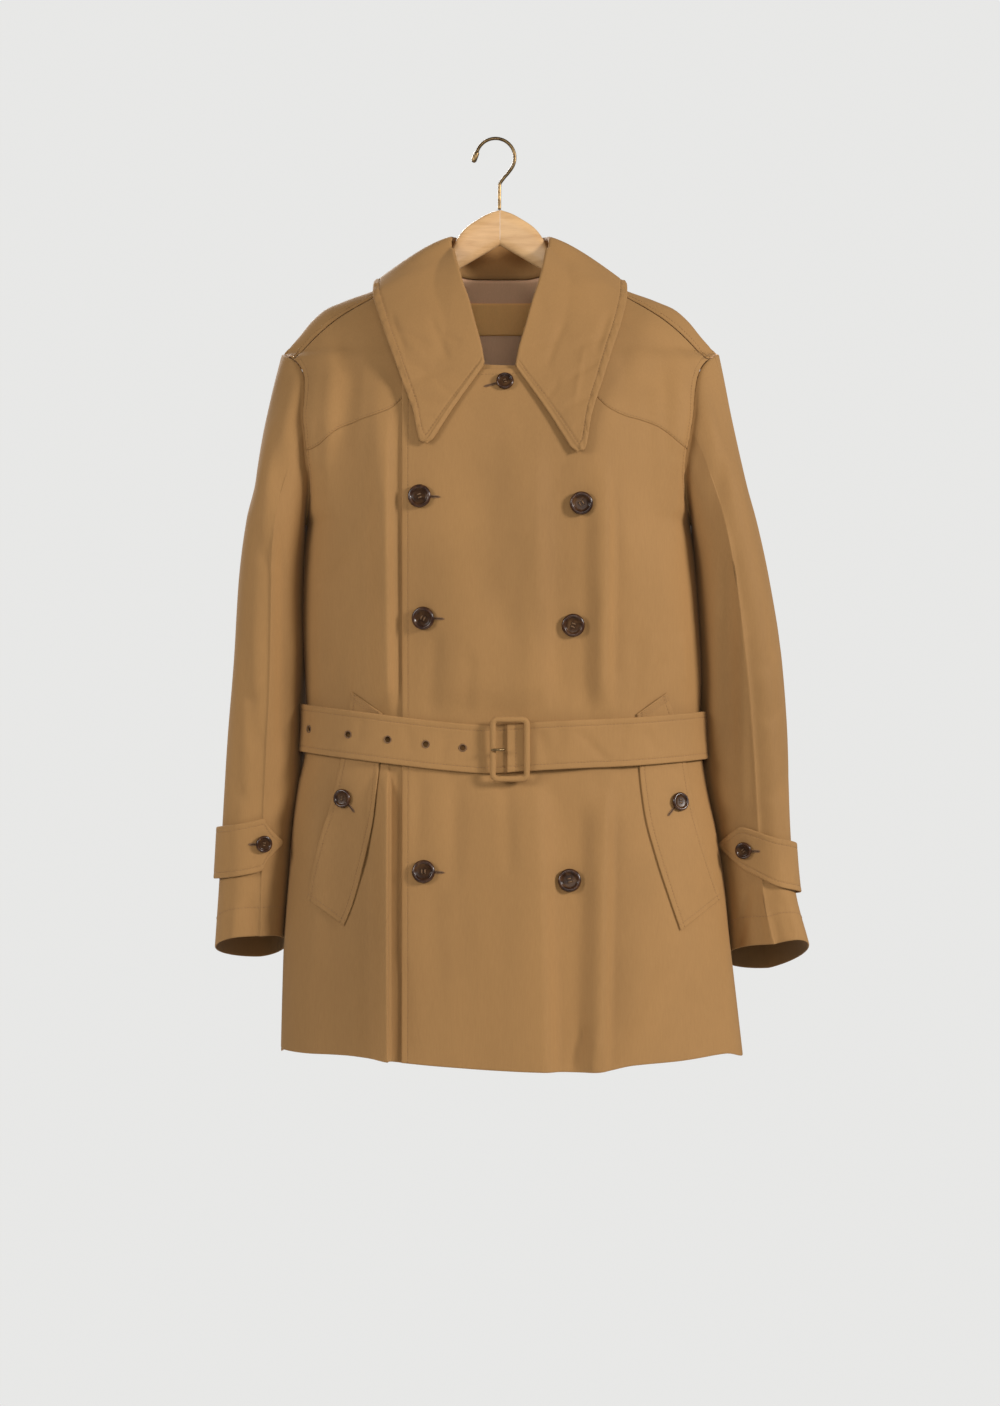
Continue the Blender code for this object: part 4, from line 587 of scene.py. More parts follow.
def spaced(total, step, dense_start=True, dense_end=True, extra=()):
    """Positions from 0 to total, closer together near the borders."""
    start = [d for d in BORDER if d < total / 2] if dense_start else [0.0]
    end = [total - d for d in BORDER if d < total / 2] if dense_end else [total]
    low, high = start[-1], end[-1]
    count = max(int(round((high - low) / step)), 1)
    middle = np.linspace(low, high, count + 1)[1:-1]
    return np.array(sorted(set(start) | set(end) | set(middle) | set(extra)))


def spaced_shares(length, step, **dense):
    """Positions over a length, as shares of it."""
    return spaced(length, step, **dense) / length


def spread_over(length, step, ends, **dense):
    """Values between two ends, spaced like positions over a length."""
    return np.interp(spaced(length, step, **dense), (0, length), ends)


def shares(count):
    """The shares 1/count, 2/count up to 1."""
    return np.linspace(0, 1, count + 1)[1:]


def full_turn(count):
    """Angles evenly round a circle, in radians."""
    return np.linspace(0, 2 * math.pi, count + 1)[:-1]


def grid_normals(points):
    """Unit normals of a grid at its points."""
    along = np.gradient(points, axis=0)
    across = np.gradient(points, axis=1)
    return unit(np.cross(across, along))


def edge_distances(points):
    """Distance of each grid point from the grid's first and last rows and columns."""
    down = np.zeros(points.shape[:2])
    down[1:] = np.cumsum(np.linalg.norm(np.diff(points, axis=0), axis=2), axis=0)
    over = np.zeros(points.shape[:2])
    over[:, 1:] = np.cumsum(np.linalg.norm(np.diff(points, axis=1), axis=2), axis=1)
    return {"first": down, "last": down[-1:] - down, "start": over, "end": over[:, -1:] - over}


class Skin:
    """The outer face of a piece of cloth: a grid of points and their outward normals."""

    def __init__(self, points, flip):
        self.flip = flip
        self.set(points)

    def set(self, points):
        self.points = np.asarray(points, float)
        self.normals = grid_normals(self.points) * (-1 if self.flip else 1)

    def push(self, depth):
        """Press the face in by a depth at each point."""
        self.set(self.points - self.normals * depth[..., None])

    def press(self, lines, direction=-1):
        """Press small creases into what faces the front, or the back where direction is 1."""
        facing = np.clip(1.6 * direction * self.normals[..., 1], 0, 1)
        self.push(wrinkles(lines, self.points[..., 0], self.points[..., 2]) * facing)

    def groove(self, edges, distance, depth=0.35, width=0.75):
        """A sewn groove at this distance from the named edges."""
        near = edge_distances(self.points)
        away = np.min([near[edge] for edge in edges], axis=0)
        self.push(depth * np.exp(-((away - distance) / width) ** 2))

    def round_corner(self, row_edge, column_edge, radius):
        """Draw the grid in at a corner so that its border runs round it."""
        near = edge_distances(self.points)
        from_row = np.clip(1 - near[row_edge] / radius, 0, 1)
        from_column = np.clip(1 - near[column_edge] / radius, 0, 1)
        down = radius * from_row * (1 - np.sqrt(1 - from_column ** 2 / 2))
        over = radius * from_column * (1 - np.sqrt(1 - from_row ** 2 / 2))
        rows = unit(np.gradient(self.points, axis=0)) * (1 if row_edge == "first" else -1)
        columns = unit(np.gradient(self.points, axis=1)) * (1 if column_edge == "start" else -1)
        self.set(self.points + rows * down[..., None] + columns * over[..., None])

    def inset(self, edge, distance):
        """The line on the face at this distance from an edge: its points and normals."""
        points, normals = self.points, self.normals
        if edge in ("first", "last"):
            points, normals = points.swapaxes(0, 1), normals.swapaxes(0, 1)
        if edge in ("last", "end"):
            points, normals = points[:, ::-1], normals[:, ::-1]
        line, facing = [], []
        for row, normal in zip(points, normals):
            arc = arc_length(row)
            line.append(interpolated(distance, arc, row))
            facing.append(interpolated(distance, arc, normal))
        return np.array(line), np.array(facing)

    def shell(self, thickness, round_size, rounded=ALL_EDGES):
        """A closed wall with rounded edges under the face."""
        near = edge_distances(self.points)
        share = np.clip(np.min([near[edge] for edge in rounded], axis=0) / round_size, 0, 1)
        keep = np.maximum(np.sqrt(1 - (1 - share) ** 2), THIN_EDGE)
        outer = self.points - self.normals * (0.5 * thickness * (1 - keep))[..., None]
        inner = self.points - self.normals * (0.5 * thickness * (1 + keep))[..., None]
        rows, columns = self.points.shape[:2]
        count = rows * columns
        index = np.arange(count).reshape(rows, columns)
        corners = index[:-1, :-1], index[:-1, 1:], index[1:, 1:], index[1:, :-1]
        top = np.stack(corners, -1).reshape(-1, 4)
        under = top[:, ::-1] + count
        border = np.concatenate((index[0, :-1], index[:-1, -1], index[-1, :0:-1], index[:0:-1, 0]))
        after = np.roll(border, -1)
        rim = np.stack((after, border, border + count, after + count), -1)
        faces = np.concatenate((top, under, rim))
        if self.flip:
            faces = faces[:, ::-1]
        return np.concatenate((outer.reshape(-1, 3), inner.reshape(-1, 3))), faces, len(top)


def link_mesh(name, vertices, faces, material, centred=True):
    """A mesh object in metres from coordinates in millimetres."""
    shift = np.array([CENTRE_X if centred else 0.0, 0.0, 0.0])
    mesh = bpy.data.meshes.new(name)
    faces = faces.tolist() if hasattr(faces, "tolist") else faces
    mesh.from_pydata(((np.asarray(vertices, float) + shift) * MM).tolist(), [], faces)
    mesh.shade_smooth()
    mesh.materials.append(material)
    piece = bpy.data.objects.new(name, mesh)
    bpy.context.collection.objects.link(piece)
    return piece


def settle(piece, slot, *nodes):
    """Ride on the one body and stand for the solids it covers; slot is not used."""
    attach(piece, "root")
    if nodes:
        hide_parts(*nodes)
    return piece


def cloth_piece(name, skin, nodes, thickness=CLOTH, round_size=2.0,
                rounded=ALL_EDGES, cloth="cloth", inner=None, slot="shell_cloth"):
    """A piece of cloth from its outer face; inner names the look of its wrong side."""
    vertices, faces, outer_count = skin.shell(thickness, round_size, rounded)
    piece = link_mesh(name + "_cloth", vertices, faces, LOOKS[cloth])
    if inner is not None:
        piece.data.materials.append(LOOKS[inner])
        marks = np.zeros(len(faces), np.int32)
        marks[outer_count:2 * outer_count] = 1
        piece.data.polygons.foreach_set("material_index", marks)
    settle(piece, slot, *nodes)


# ================================================================ sewing
STITCH_PITCH, STITCH_LENGTH, STITCH_RADIUS, STITCH_SIDES = 3.4, 2.5, 0.30, 6
# Place along a stitch in its lengths, width in its radii and height over the cloth
STITCH_SHAPE = [(-0.5, 0.35, -0.16), (-0.25, 1.0, 0.10), (0.25, 1.0, 0.10), (0.5, 0.35, -0.16)]
THREADS = []


def stitch(line, normals, keep=None, pitch=STITCH_PITCH, length=STITCH_LENGTH):
    """Remember a row of stitches that follows a line on the cloth."""
    line, normals = np.asarray(line, float), np.asarray(normals, float)
    if keep is not None:
        line, normals = line[keep], normals[keep]
    if len(line) < 2:
        return
    arc = arc_length(line)
    count = int(arc[-1] / pitch)
    if count < 1:
        return
    centres = (np.arange(count) + 0.5) * arc[-1] / count
    rings = []
    for offset, width, height in STITCH_SHAPE:
        at = centres + offset * length
        point = interpolated(at, arc, line)
        normal = unit(interpolated(at, arc, normals))
        along = unit(interpolated(at + 0.4, arc, line) - interpolated(at - 0.4, arc, line))
        side = np.cross(along, normal)
        radius = STITCH_RADIUS * width
        ring = [point + normal * (height + radius * math.sin(a)) + side * radius * math.cos(a)
                for a in (2 * math.pi * corner / STITCH_SIDES for corner in range(STITCH_SIDES))]
        rings.append(np.stack(ring, 1))
    THREADS.append(np.stack(rings, 1))


def stitch_inset(skin, edge, distance, keep=None, **sizes):
    """Remember stitches along an edge; keep picks points, itself or as a test of the line."""
    line, normals = skin.inset(edge, distance)
    stitch(line, normals, keep(line) if callable(keep) else keep, **sizes)


def above_armpit(points):
    return points[..., 2] > ARMPIT_Z


def sew_threads(name):
    """One mesh of all the stitches remembered since the last call."""
    blocks = np.concatenate(THREADS)
    THREADS.clear()
    count, stations, corners = blocks.shape[:3]
    index = np.arange(count * stations * corners).reshape(count, stations, corners)
    after = np.roll(index, -1, axis=2)
    tube = np.stack((index[:, :-1], after[:, :-1], after[:, 1:], index[:, 1:]), -1).reshape(-1, 4)
    faces = tube.tolist() + index[:, 0, ::-1].tolist() + index[:, -1].tolist()
    piece = link_mesh(name, blocks.reshape(-1, 3), faces, LOOKS["thread"])
    settle(piece, "shell_cloth")


# ================================================================ materials
WHITE = (1.0, 1.0, 1.0)


def shaded(tone, factor):
    """A colour made darker or brighter."""
    return tuple(min(factor * value, 1) for value in tone)


class Look:
    """A material and the nodes that make its look."""

    def __init__(self, name, colour, roughness, metallic=0.0, specular=0.5, sheen=0.0, coat=0.0):
        self.material = bpy.data.materials.new(name)
        self.material.use_nodes = True
        self.tree = self.material.node_tree
        self.shader = self.feed(self.tree.nodes["Principled BSDF"], {
            "Base Color": (*colour, 1), "Roughness": roughness, "Metallic": metallic,
            "Specular IOR Level": specular, "Sheen Weight": sheen, "Sheen Roughness": 0.5,
            "Coat Weight": coat, "Coat Roughness": 0.12,
        })

    def feed(self, node, inputs):
        """Set a node's inputs, to values or to what other nodes put out."""
        for name, value in inputs.items():
            if isinstance(value, bpy.types.NodeSocket):
                self.tree.links.new(value, node.inputs[name])
            else:
                node.inputs[name].default_value = value
        return node

    def add(self, kind, inputs):
        return self.feed(self.tree.nodes.new(kind), inputs)

    def placed(self, scale=(1, 1, 1), rotation=(0, 0, 0)):
        """The object's own coordinates, scaled and turned."""
        coords = self.add("ShaderNodeTexCoord", {}).outputs["Object"]
        inputs = {"Vector": coords, "Scale": scale, "Rotation": rotation}
        return self.add("ShaderNodeMapping", inputs).outputs["Vector"]

    def noise(self, vector, scale, detail=3.0, rough=0.5, distortion=0.0):
        return self.add("ShaderNodeTexNoise", {
            "Vector": vector, "Scale": scale, "Detail": detail, "Roughness": rough, "Distortion": distortion,
        }).outputs["Fac"]

    def ramp(self, value, stops):
        """Colours between stops, each a place and its colour."""
        node = self.add("ShaderNodeValToRGB", {"Fac": value})
        elements = node.color_ramp.elements
        for number, (position, colour) in ((0, stops[0]), (1, stops[-1])):
            elements[number].position = position
            elements[number].color = (*colour, 1)
        for position, colour in stops[1:-1]:
            elements.new(position).color = (*colour, 1)
        return node.outputs["Color"]

    def tinted(self, factor, colour, tint):
        """A colour multiplied by another one."""
        node = self.tree.nodes.new("ShaderNodeMix")
        node.data_type, node.blend_type = "RGBA", "MULTIPLY"
        return self.feed(node, {0: factor, 6: colour, 7: tint}).outputs[2]

    def bump(self, height, strength, distance, below=None):
        """A relief, over the relief below it."""
        inputs = {"Height": height, "Strength": strength, "Distance": distance}
        if below is not None:
            inputs["Normal"] = below
        return self.add("ShaderNodeBump", inputs).outputs["Normal"]

    def twill(self, period, rotation):
        """Fine slanting ribs of a woven cloth."""
        node = self.add("ShaderNodeTexWave", {
            "Vector": self.placed(rotation=rotation), "Scale": 0.31 / period, "Distortion": 0.6,
            "Detail": 1.0, "Detail Scale": 2.0,
        })
        node.wave_type, node.bands_direction = "BANDS", "X"
        return node.outputs["Fac"]

    def finished(self, colour, relief=None):
        inputs = {"Base Color": colour}
        if relief is not None:
            inputs["Normal"] = relief
        self.feed(self.shader, inputs)
        return self.material


def cloth_material(name, tone, roughness=0.75, sheen=0.06, crumple=0.5):
    """Cotton gabardine: fine slanting ribs, uneven dye and small wrinkles."""
    look = Look(name, tone, roughness, specular=0.24, sheen=sheen)
    look.feed(look.shader, {"Sheen Tint": (1.0, 0.86, 0.66, 1)})
    broad = look.noise(look.placed((1, 1, 0.35)), 7.0, 4.0, 0.55, 0.4)
    colour = look.ramp(broad, [(0.30, shaded(tone, 0.86)), (0.50, tone), (0.72, shaded(tone, 1.13))])
    slub = look.noise(look.placed((1, 1, 0.08)), 900.0, 2.0)
    colour = look.tinted(0.6, colour, look.ramp(slub, [(0.25, (0.88, 0.87, 0.86)), (0.75, WHITE)]))
    rib = look.twill(0.0009, (0.0, math.radians(52), 0.0))
    colour = look.tinted(0.7, colour, look.ramp(rib, [(0.0, (0.93, 0.92, 0.90)), (1.0, WHITE)]))
    fine = look.noise(look.placed(), 160.0, 3.0, 0.6)
    soft = look.noise(look.placed((1, 1, 0.45)), 26.0, 3.0, 0.5, 0.6)
    relief = look.bump(rib, 0.25, 0.0002)
    relief = look.bump(fine, 0.18 * crumple, 0.0006, relief)
    relief = look.bump(soft, 0.30 * crumple, 0.003, relief)
    return look.finished(colour, relief)


def wood_material(name, light, dark, tilt):
    """Pale beech with fine grain along the arm and short rays."""
    look = Look(name, light, 0.42, specular=0.4, coat=0.15)
    grain = look.noise(look.placed((7, 60, 60), (0, tilt, 0)), 2.2, 6.0, 0.6, 0.5)
    colour = look.ramp(grain, [(0.30, dark), (0.55, light), (0.80, shaded(light, 1.06))])
    rays = look.noise(look.placed((60, 300, 420), (0, tilt, 0)), 2.0, 2.0)
    colour = look.tinted(0.35, colour, look.ramp(rays, [(0.32, (0.86, 0.80, 0.72)), (0.46, WHITE)]))
    return look.finished(colour, look.bump(grain, 0.08, 0.0006))


def horn_material(name, deep, tone, pale, specular):
    """Brown marbled button stuff with a glossy face."""
    look = Look(name, tone, 0.24, specular=specular)
    marble = look.noise(look.placed(), 95.0, 3.0, 0.5, 1.2)
    return look.finished(look.ramp(marble, [(0.34, deep), (0.55, tone), (0.74, pale)]))


def bronze_material(name):
    """Dark bronze plating, brighter where it has rubbed."""
    look = Look(name, (0.23, 0.15, 0.07), 0.34, metallic=1.0)
    worn = look.noise(look.placed(), 90.0, 4.0, 0.6, 0.6)
    colour = look.ramp(worn, [(0.35, (0.10, 0.065, 0.032)), (0.62, (0.30, 0.20, 0.095))])
    return look.finished(colour, look.bump(worn, 0.12, 0.0003))


def plain_material(name, colour, roughness):
    look = Look(name, colour, roughness)
    speck = look.noise(look.placed(), 3.0, 2.0)
    return look.finished(look.ramp(speck, [(0.3, shaded(colour, 0.985)), (0.7, colour)]))


TAN_TONE = (0.338, 0.183, 0.0655)
LOOKS = {
    "cloth": cloth_material("gabardine", TAN_TONE),
    "thick": cloth_material("gabardine_thick", TAN_TONE, crumple=0.9),
    # Painted shade: the wrong side of the cloth, with the tan darkened to 0.62 for the shaded inside of the
    # coat
    "inside": cloth_material("gabardine_inside_painted_shade", shaded(TAN_TONE, 0.62), 0.85, 0.1),
    # Painted light: the lining's taupe is made much brighter than its own colour, so the inside of the coat
    # looks lit
    "lining": cloth_material("taupe_lining_painted_light", (0.760, 0.465, 0.280), 0.52, 0.2, 0.4),
    # Painted light: the band is the shell's tan made 2.75 times brighter, so the inside of the neck looks lit
    "band": cloth_material("gabardine_band_painted_light", shaded(TAN_TONE, 2.75)),
    "thread": cloth_material("sewing_thread", (0.275, 0.145, 0.055), 0.6, 0.2, 0.2),
    "hole_thread": cloth_material("buttonhole_thread", (0.170, 0.090, 0.042), 0.6, 0.2, 0.2),
    # Painted shade: near-black cloth laid in each buttonhole's cut, where there is only shadow
    "painted_shade_slit": cloth_material("buttonhole_slit", (0.030, 0.016, 0.009), 0.9, 0.0, 0.0),
    "beech_left": wood_material("beech_left", (0.640, 0.400, 0.190), (0.520, 0.300, 0.130), 0.45),
    "beech_right": wood_material("beech_right", (0.670, 0.410, 0.195), (0.540, 0.310, 0.132), -0.45),
    "horn": horn_material("dark_horn", (0.022, 0.008, 0.004), (0.048, 0.018, 0.007),
                          (0.09, 0.040, 0.015), 0.40),
    "horn_middle": horn_material("brown_horn", (0.026, 0.011, 0.005), (0.055, 0.025, 0.010),
                                 (0.10, 0.05, 0.02), 0.16),
    "bronze": bronze_material("dark_bronze"),
}


# ================================================================ body panels
def side_names(stop, step, crease_names=()):
    """Grid columns from the side edge to another one, evenly spaced over the cloth."""
    dense = np.linspace(NOMINAL_SIDE, stop, 6000)
    full = np.sqrt(np.clip(1 - (np.abs(dense) / NOMINAL_SIDE) ** FRONT_ROUND, 0, 1))
    arc = np.concatenate(([0], np.cumsum(np.hypot(np.diff(dense), BODY_BOW * np.diff(full)))))
    order = np.argsort(dense)
    extra = [float(np.interp(name, dense[order], arc[order])) for name in crease_names]
    return np.interp(spaced(arc[-1], step, extra=extra), arc, dense)


def lower_rows(low):
    """Heights of a panel's rows from its hem to LOWER_TOP, one for each column."""
    count = int(round((LOWER_TOP - low.mean() - BORDER[-1]) / CLOTH_STEP))
    rise = LOWER_TOP - low - BORDER[-1]
    rows = [low + distance for distance in BORDER]
    return rows + [low + BORDER[-1] + rise * share for share in shares(count)]


def front_rows(top, low):
    """Heights of a front's rows for each column, from its hem to its top edge."""
    rise = top - BORDER[-1] - LOWER_TOP
    rows = lower_rows(low)
    rows += [LOWER_TOP + rise * share for share in shares(UPPER_ROWS)]
    rows += [top - distance for distance in BORDER[-2::-1]]
    return np.stack(rows, axis=-1)


def front_panel(side, names, z):
    """A panel of the front over these columns, with its heights at each row."""
    x = column_x(names[:, None], z)
    y = shown_front_y(x, z, side)
    y[0] -= SEAM
    skin = Skin(np.stack((x, y, z), -1), side == RIGHT)
    skin.press(FRONT_WRINKLES)
    return skin


def front_top(side, names):
    """Height of a front's top edge: the yoke's seam, the neck and across the overlap."""
    inward = side * names
    seam = crossing(yoke_seam_z, names) - SEAM
    neck = front_neck_z(inward)
    across = FRONT_NECK["z"][0] - 0.02 * np.abs(inward)
    return np.where(inward > YOKE_INNER, seam, np.where(inward >= 0, neck, across))


def front_skin(side, past_centre, neck_drop, creases=()):
    """A front from its side to its edge past the centre; neck_drop lowers its top there."""
    names = side * side_names(-past_centre, CLOTH_STEP, creases)
    top = front_top(side, names) - np.where(side * names < YOKE_INNER, neck_drop, 0.0)
    low = look_up(HEM, "z", column_x(names, HEM_Z))
    return front_panel(side, names, front_rows(top, low))


def yoke_skin(side):
    """A front yoke from its seam over to the shoulder's, with rows crowded at the top."""
    names = side * side_names(YOKE_INNER + 1, CLOTH_STEP)
    low = crossing(yoke_seam_z, names) + SEAM
    over = crossing(shoulder_seam_z, names) - SEAM
    top = np.where(np.abs(names) >= NECK_HALF, over, front_neck_z(names))
    share = spaced_shares(YOKE_DEPTH, 3.6)
    z = low[:, None] + (top - low)[:, None] * np.sin(0.5 * np.pi * share)[None, :]
    return front_panel(side, names, z)


def back_skin():
    """The back's grid, level below and fanned out over the shoulders and round the neck."""
    half = side_names(0, CLOTH_STEP)
    names = np.concatenate((-half, half[-2::-1]))
    lower = np.stack(lower_rows(np.full(names.shape, HEM_Z)), -1)
    peak = crossing(ridge_z, names)
    is_neck = np.abs(names) <= NECK_HALF
    tall = (peak - LOWER_TOP)[:, None]
    share_top = np.clip((back_neck_z(names) - LOWER_TOP) / (peak - LOWER_TOP), 0, 1)
    end = np.where(is_neck, np.arcsin(share_top), 0.5 * np.pi)
    hump, over = shares(HUMP_ROWS), shares(OVER_ROWS)
    seam = crossing(shoulder_seam_z, names) + SEAM
    neck_share = np.concatenate((hump * NECK_SHARE, NECK_SHARE + (1 - NECK_SHARE) * over))
    z_neck = LOWER_TOP + tall * np.sin(end[:, None] * neck_share[None, :])
    z_hump = LOWER_TOP + tall * np.sin(0.5 * np.pi * hump)[None, :]
    z_over = peak[:, None] + (seam - peak)[:, None] * over[None, :] ** 2
    z_shoulder = np.concatenate((z_hump, z_over), 1)
    upper = np.where(is_neck[:, None], z_neck, z_shoulder)
    z = np.concatenate((lower, upper), 1)
    x = column_x(names[:, None], z)
    y = back_y(x, z)
    past = np.zeros(z.shape, bool)
    past[:, -len(over):] = ~is_neck[:, None]
    y = np.where(past, front_y(x, z), y)
    y[[0, -1]] += SEAM
    skin = Skin(np.stack((x, y, z), -1), False)
    skin.press(BACK_WRINKLES, 1)
    return skin, names


def sewn_edge(skin, edge, distance, depth, pucker, phase, where=1.0):
    """A stitched border: a groove along the stitches and small puckers beside it."""
    away = edge_distances(skin.points)[edge]
    axis = 1 if edge in ("first", "last") else 0
    steps = np.diff(skin.points, axis=axis, prepend=np.nan)
    length = np.cumsum(np.nan_to_num(np.linalg.norm(steps, axis=2)), axis=axis)
    seam = np.exp(-((away - distance) / 0.8) ** 2)
    band = np.exp(-((away - 0.5 * distance) / (0.32 * distance)) ** 2)
    skin.push((depth * seam + pucker * ripple(length + 0.6 * away, phase) * band) * where)


def pucker_sides(skin, column, middle, width, depth, phase):
    """Small waves beside the stitches along both sides of a sewn strip."""
    near = edge_distances(skin.points)
    away = np.minimum(near["start"], near["end"])
    wave = ripple(arc_length(skin.points[:, column]), phase)
    skin.push(depth * wave[:, None] * np.exp(-((away - middle) / width) ** 2))


def sink_edge(skin, edge, depth, reach):
    """Draw a border down to its seam."""
    away = edge_distances(skin.points)[edge]
    skin.push(depth * np.exp(-(away / reach) ** 2))


def ripple(length, phase):
    """An uneven little wave along a seam, between -1 and 1."""
    length = np.asarray(length)
    return (0.45 * np.sin(length / 1.31 + phase) + 0.35 * np.sin(length / 2.17 + 2.1 * phase)
            + 0.2 * np.sin(length / 3.9 + phase))


def build_body():
    top_front = front_skin(LEFT, -OVERLAP_LEFT_EDGE, neck_drop=1.0)
    top_front.groove(("last",), EDGE_STITCH, 0.25)
    sewn_edge(top_front, "first", ARMHOLE_STITCH, depth=0.55, pucker=0.6, phase=0.3,
              where=above_armpit(top_front.points))
    cloth_piece("front_left", top_front, ["front_left"], inner="inside")
    under_front = front_skin(RIGHT, OVERLAP_RIGHT_EDGE, neck_drop=-3.0, creases=CREASE_COLUMNS)
    sewn_edge(under_front, "first", ARMHOLE_STITCH, depth=0.55, pucker=0.6, phase=1.3,
              where=above_armpit(under_front.points))
    cloth_piece("front_right", under_front, ["front_right"], inner="inside")
    back, names = back_skin()
    for edge in ("first", "last"):
        sewn_edge(back, edge, ARMHOLE_STITCH, depth=0.5, pucker=0.5, phase=2.1,
                  where=above_armpit(back.points))
    sewn_edge(back, "end", SHOULDER_STITCH, depth=0.9, pucker=0.85, phase=0.9,
              where=(np.abs(names) > NECK_HALF + 1)[:, None])
    cloth_piece("back", back, ["back"], inner="lining")
    yokes = []
    for side, word in SIDE_WORDS.items():
        yoke, name = yoke_skin(side), f"front_yoke_{word}"
        sink_edge(yoke, "end", depth=1.3, reach=1.8)
        sewn_edge(yoke, "first", ARMHOLE_STITCH, depth=0.55, pucker=0.6, phase=1.7)
        sewn_edge(yoke, "start", YOKE_STITCH, depth=0.15, pucker=0.1, phase=0.2)
        cloth_piece(name, yoke, [name], inner="inside")
        yokes.append(yoke)
    sew_body(top_front, under_front, back, yokes, names)
    return back, names


def sew_body(top_front, under_front, back, yokes, names):
    for skin in (top_front, under_front):
        stitch_inset(skin, "first", ARMHOLE_STITCH, above_armpit)
    for skin in yokes:
        stitch_inset(skin, "first", ARMHOLE_STITCH)
        stitch_inset(skin, "start", YOKE_STITCH)
    stitch_inset(top_front, "last", EDGE_STITCH)
    stitch_inset(top_front, "end", NECK_STITCH, lambda line: np.abs(line[:, 0]) < YOKE_INNER)
    for keep in (names > NECK_HALF + 1, names < -NECK_HALF - 1):
        stitch_inset(back, "end", SHOULDER_STITCH, keep)
    for edge in ("first", "last"):
        stitch_inset(back, edge, ARMHOLE_STITCH, above_armpit)
    sew_threads("body_stitching")


# ================================================================ sleeves
def sleeve_point(side, angle, along, ridge=SLEEVE_RIDGE):
    """A point of the sleeve's outer face; 0 degrees is its outer edge, 90 its front."""
    def at(name):
        return look_up(SLEEVES[side], name, along)

    turn = np.radians(angle)
    to_outer, to_front = np.cos(turn), np.sin(turn)
    facing_front = to_front > 0
    flat = np.where(to_outer > 0, FLAT_OUTER, FLAT_INNER)
    outer_share = np.abs(to_outer) ** np.where(facing_front, flat, 1.0)
    depth_share = np.abs(to_front)
    place = {}
    for axis in "xyz":
        front, back = at("front_" + axis), at("back_" + axis)
        middle = 0.5 * (front + back)
        outer = OUTER_Y if axis == "y" else at("outer_" + axis)
        to_end = outer_share * (np.where(to_outer > 0, outer, at("inner_" + axis)) - middle)
        to_face = depth_share * (np.where(facing_front, front, back) - middle)
        place[axis] = middle + to_end + to_face
        if axis == "x":
            off = to_end
    x, y, z = place.values()
    crest = np.exp(-np.abs(off) / np.where(off > 0, RIDGE_OUTER, RIDGE_INNER))
    y = y - ridge * crest * facing_front * ease((along - RIDGE_START) / RIDGE_FADE)
    hole_z = TIP_Z + (ARMPIT_Z - TIP_Z) * (1 - to_outer) / 2
    hole_x = reach_at(side, hole_z)
    hole_y = np.where(facing_front, look_up(SIDES, "front", hole_z), look_up(SIDES, "back", hole_z))
    fade = ease(along / SLEEVE_BLEND)
    step_out = CAP_TUCK + (CAP_STEP - CAP_TUCK) * ease(along / CAP_STEP_RUN) * (1 - fade)
    x = hole_x + step_out + (x - hole_x) * fade
    y = hole_y + (y - hole_y) * fade
    z = hole_z + (z - hole_z) * fade - CAP_DROP * (1 - ease(along / CAP_DROP_RUN))
    return np.stack(np.broadcast_arrays(side * x, y, z), axis=-1)


def sleeve_rows():
    """Shares of the way down the sleeve for the rows of its grid."""
    return spaced_shares(SLEEVE_LENGTH, CLOTH_STEP)


def sleeve_turns(side, start, end):
    """Angles round the sleeve for the grid's columns, evenly spaced over the cloth."""
    dense = np.linspace(start, end, 2000)
    arc = arc_length(sleeve_point(side, dense, 0.6, 0.0))
    crest = np.interp(90.0, dense, arc)
    extra = [crest + offset for offset in RIDGE_COLUMNS] if start < 90 < end else ()
    return np.interp(spaced(arc[-1], 3.8, extra=extra), arc, dense)


def build_sleeves():
    for side, word in SIDE_WORDS.items():
        first, second = SLEEVE_SEAMS[side]
        spans = {"upper": (first, second), "under": (second, first + 360)}
        for part, (start, end) in spans.items():
            step = np.array([start - 2, *sleeve_turns(side, start, end), end + 2])
            plain = sleeve_point(side, step[None, :], sleeve_rows()[:, None], 0.0)
            ridge = sleeve_point(side, step[None, :], sleeve_rows()[:, None]) - plain
            skin = Skin(plain, side == RIGHT)
            skin.press(SLEEVE_WRINKLES)
            skin.press(SLEEVE_BACK_WRINKLES, 1)
            skin.set(skin.points + ridge)
            skin.points, skin.normals = skin.points[:, 1:-1], skin.normals[:, 1:-1]
            name = f"sleeve_{word}_{part}"
            cloth_piece(name, skin, [name], round_size=1.8,
                        inner="inside")
            stitch_inset(skin, "last", HEM_STITCH)
    sew_threads("sleeve_stitching")


def sleeve_along(side, angle, z):
    """Share of the way down the sleeve at which a line round it reaches height z."""
    def is_above(along):
        return sleeve_point(side, angle, along, 0.0)[..., 2] > z

    low = np.zeros(np.broadcast(angle, z).shape)
    return 0.5 * sum(halved(low, low + 1, is_above, 30))


def sleeve_frame(side, angle, z):
    """Points and outward normals of the unpressed sleeve at angles and heights."""
    angle, z = np.broadcast_arrays(np.asarray(angle, float), np.asarray(z, float))
    along = sleeve_along(side, angle, z)
    point = sleeve_point(side, angle, along, 0.0)
    turned = [sleeve_point(side, angle + turn, along, 0.0) for turn in (-9, -3, 3, 9)]
    round_it = turned[2] + turned[3] - turned[0] - turned[1]
    down_it = (sleeve_point(side, angle, np.minimum(along + 0.01, 1), 0.0)
               - sleeve_point(side, angle, along - 0.01, 0.0))
    normal = unit(np.cross(round_it, down_it) * side)
    quarters = [sleeve_point(side, np.full(along.shape, turn), along) for turn in (0.0, 90.0, 180.0, 270.0)]
    outward = np.sum(normal * (point - np.mean(quarters, axis=0)), axis=-1, keepdims=True)
    return point, np.where(outward < 0, -normal, normal)


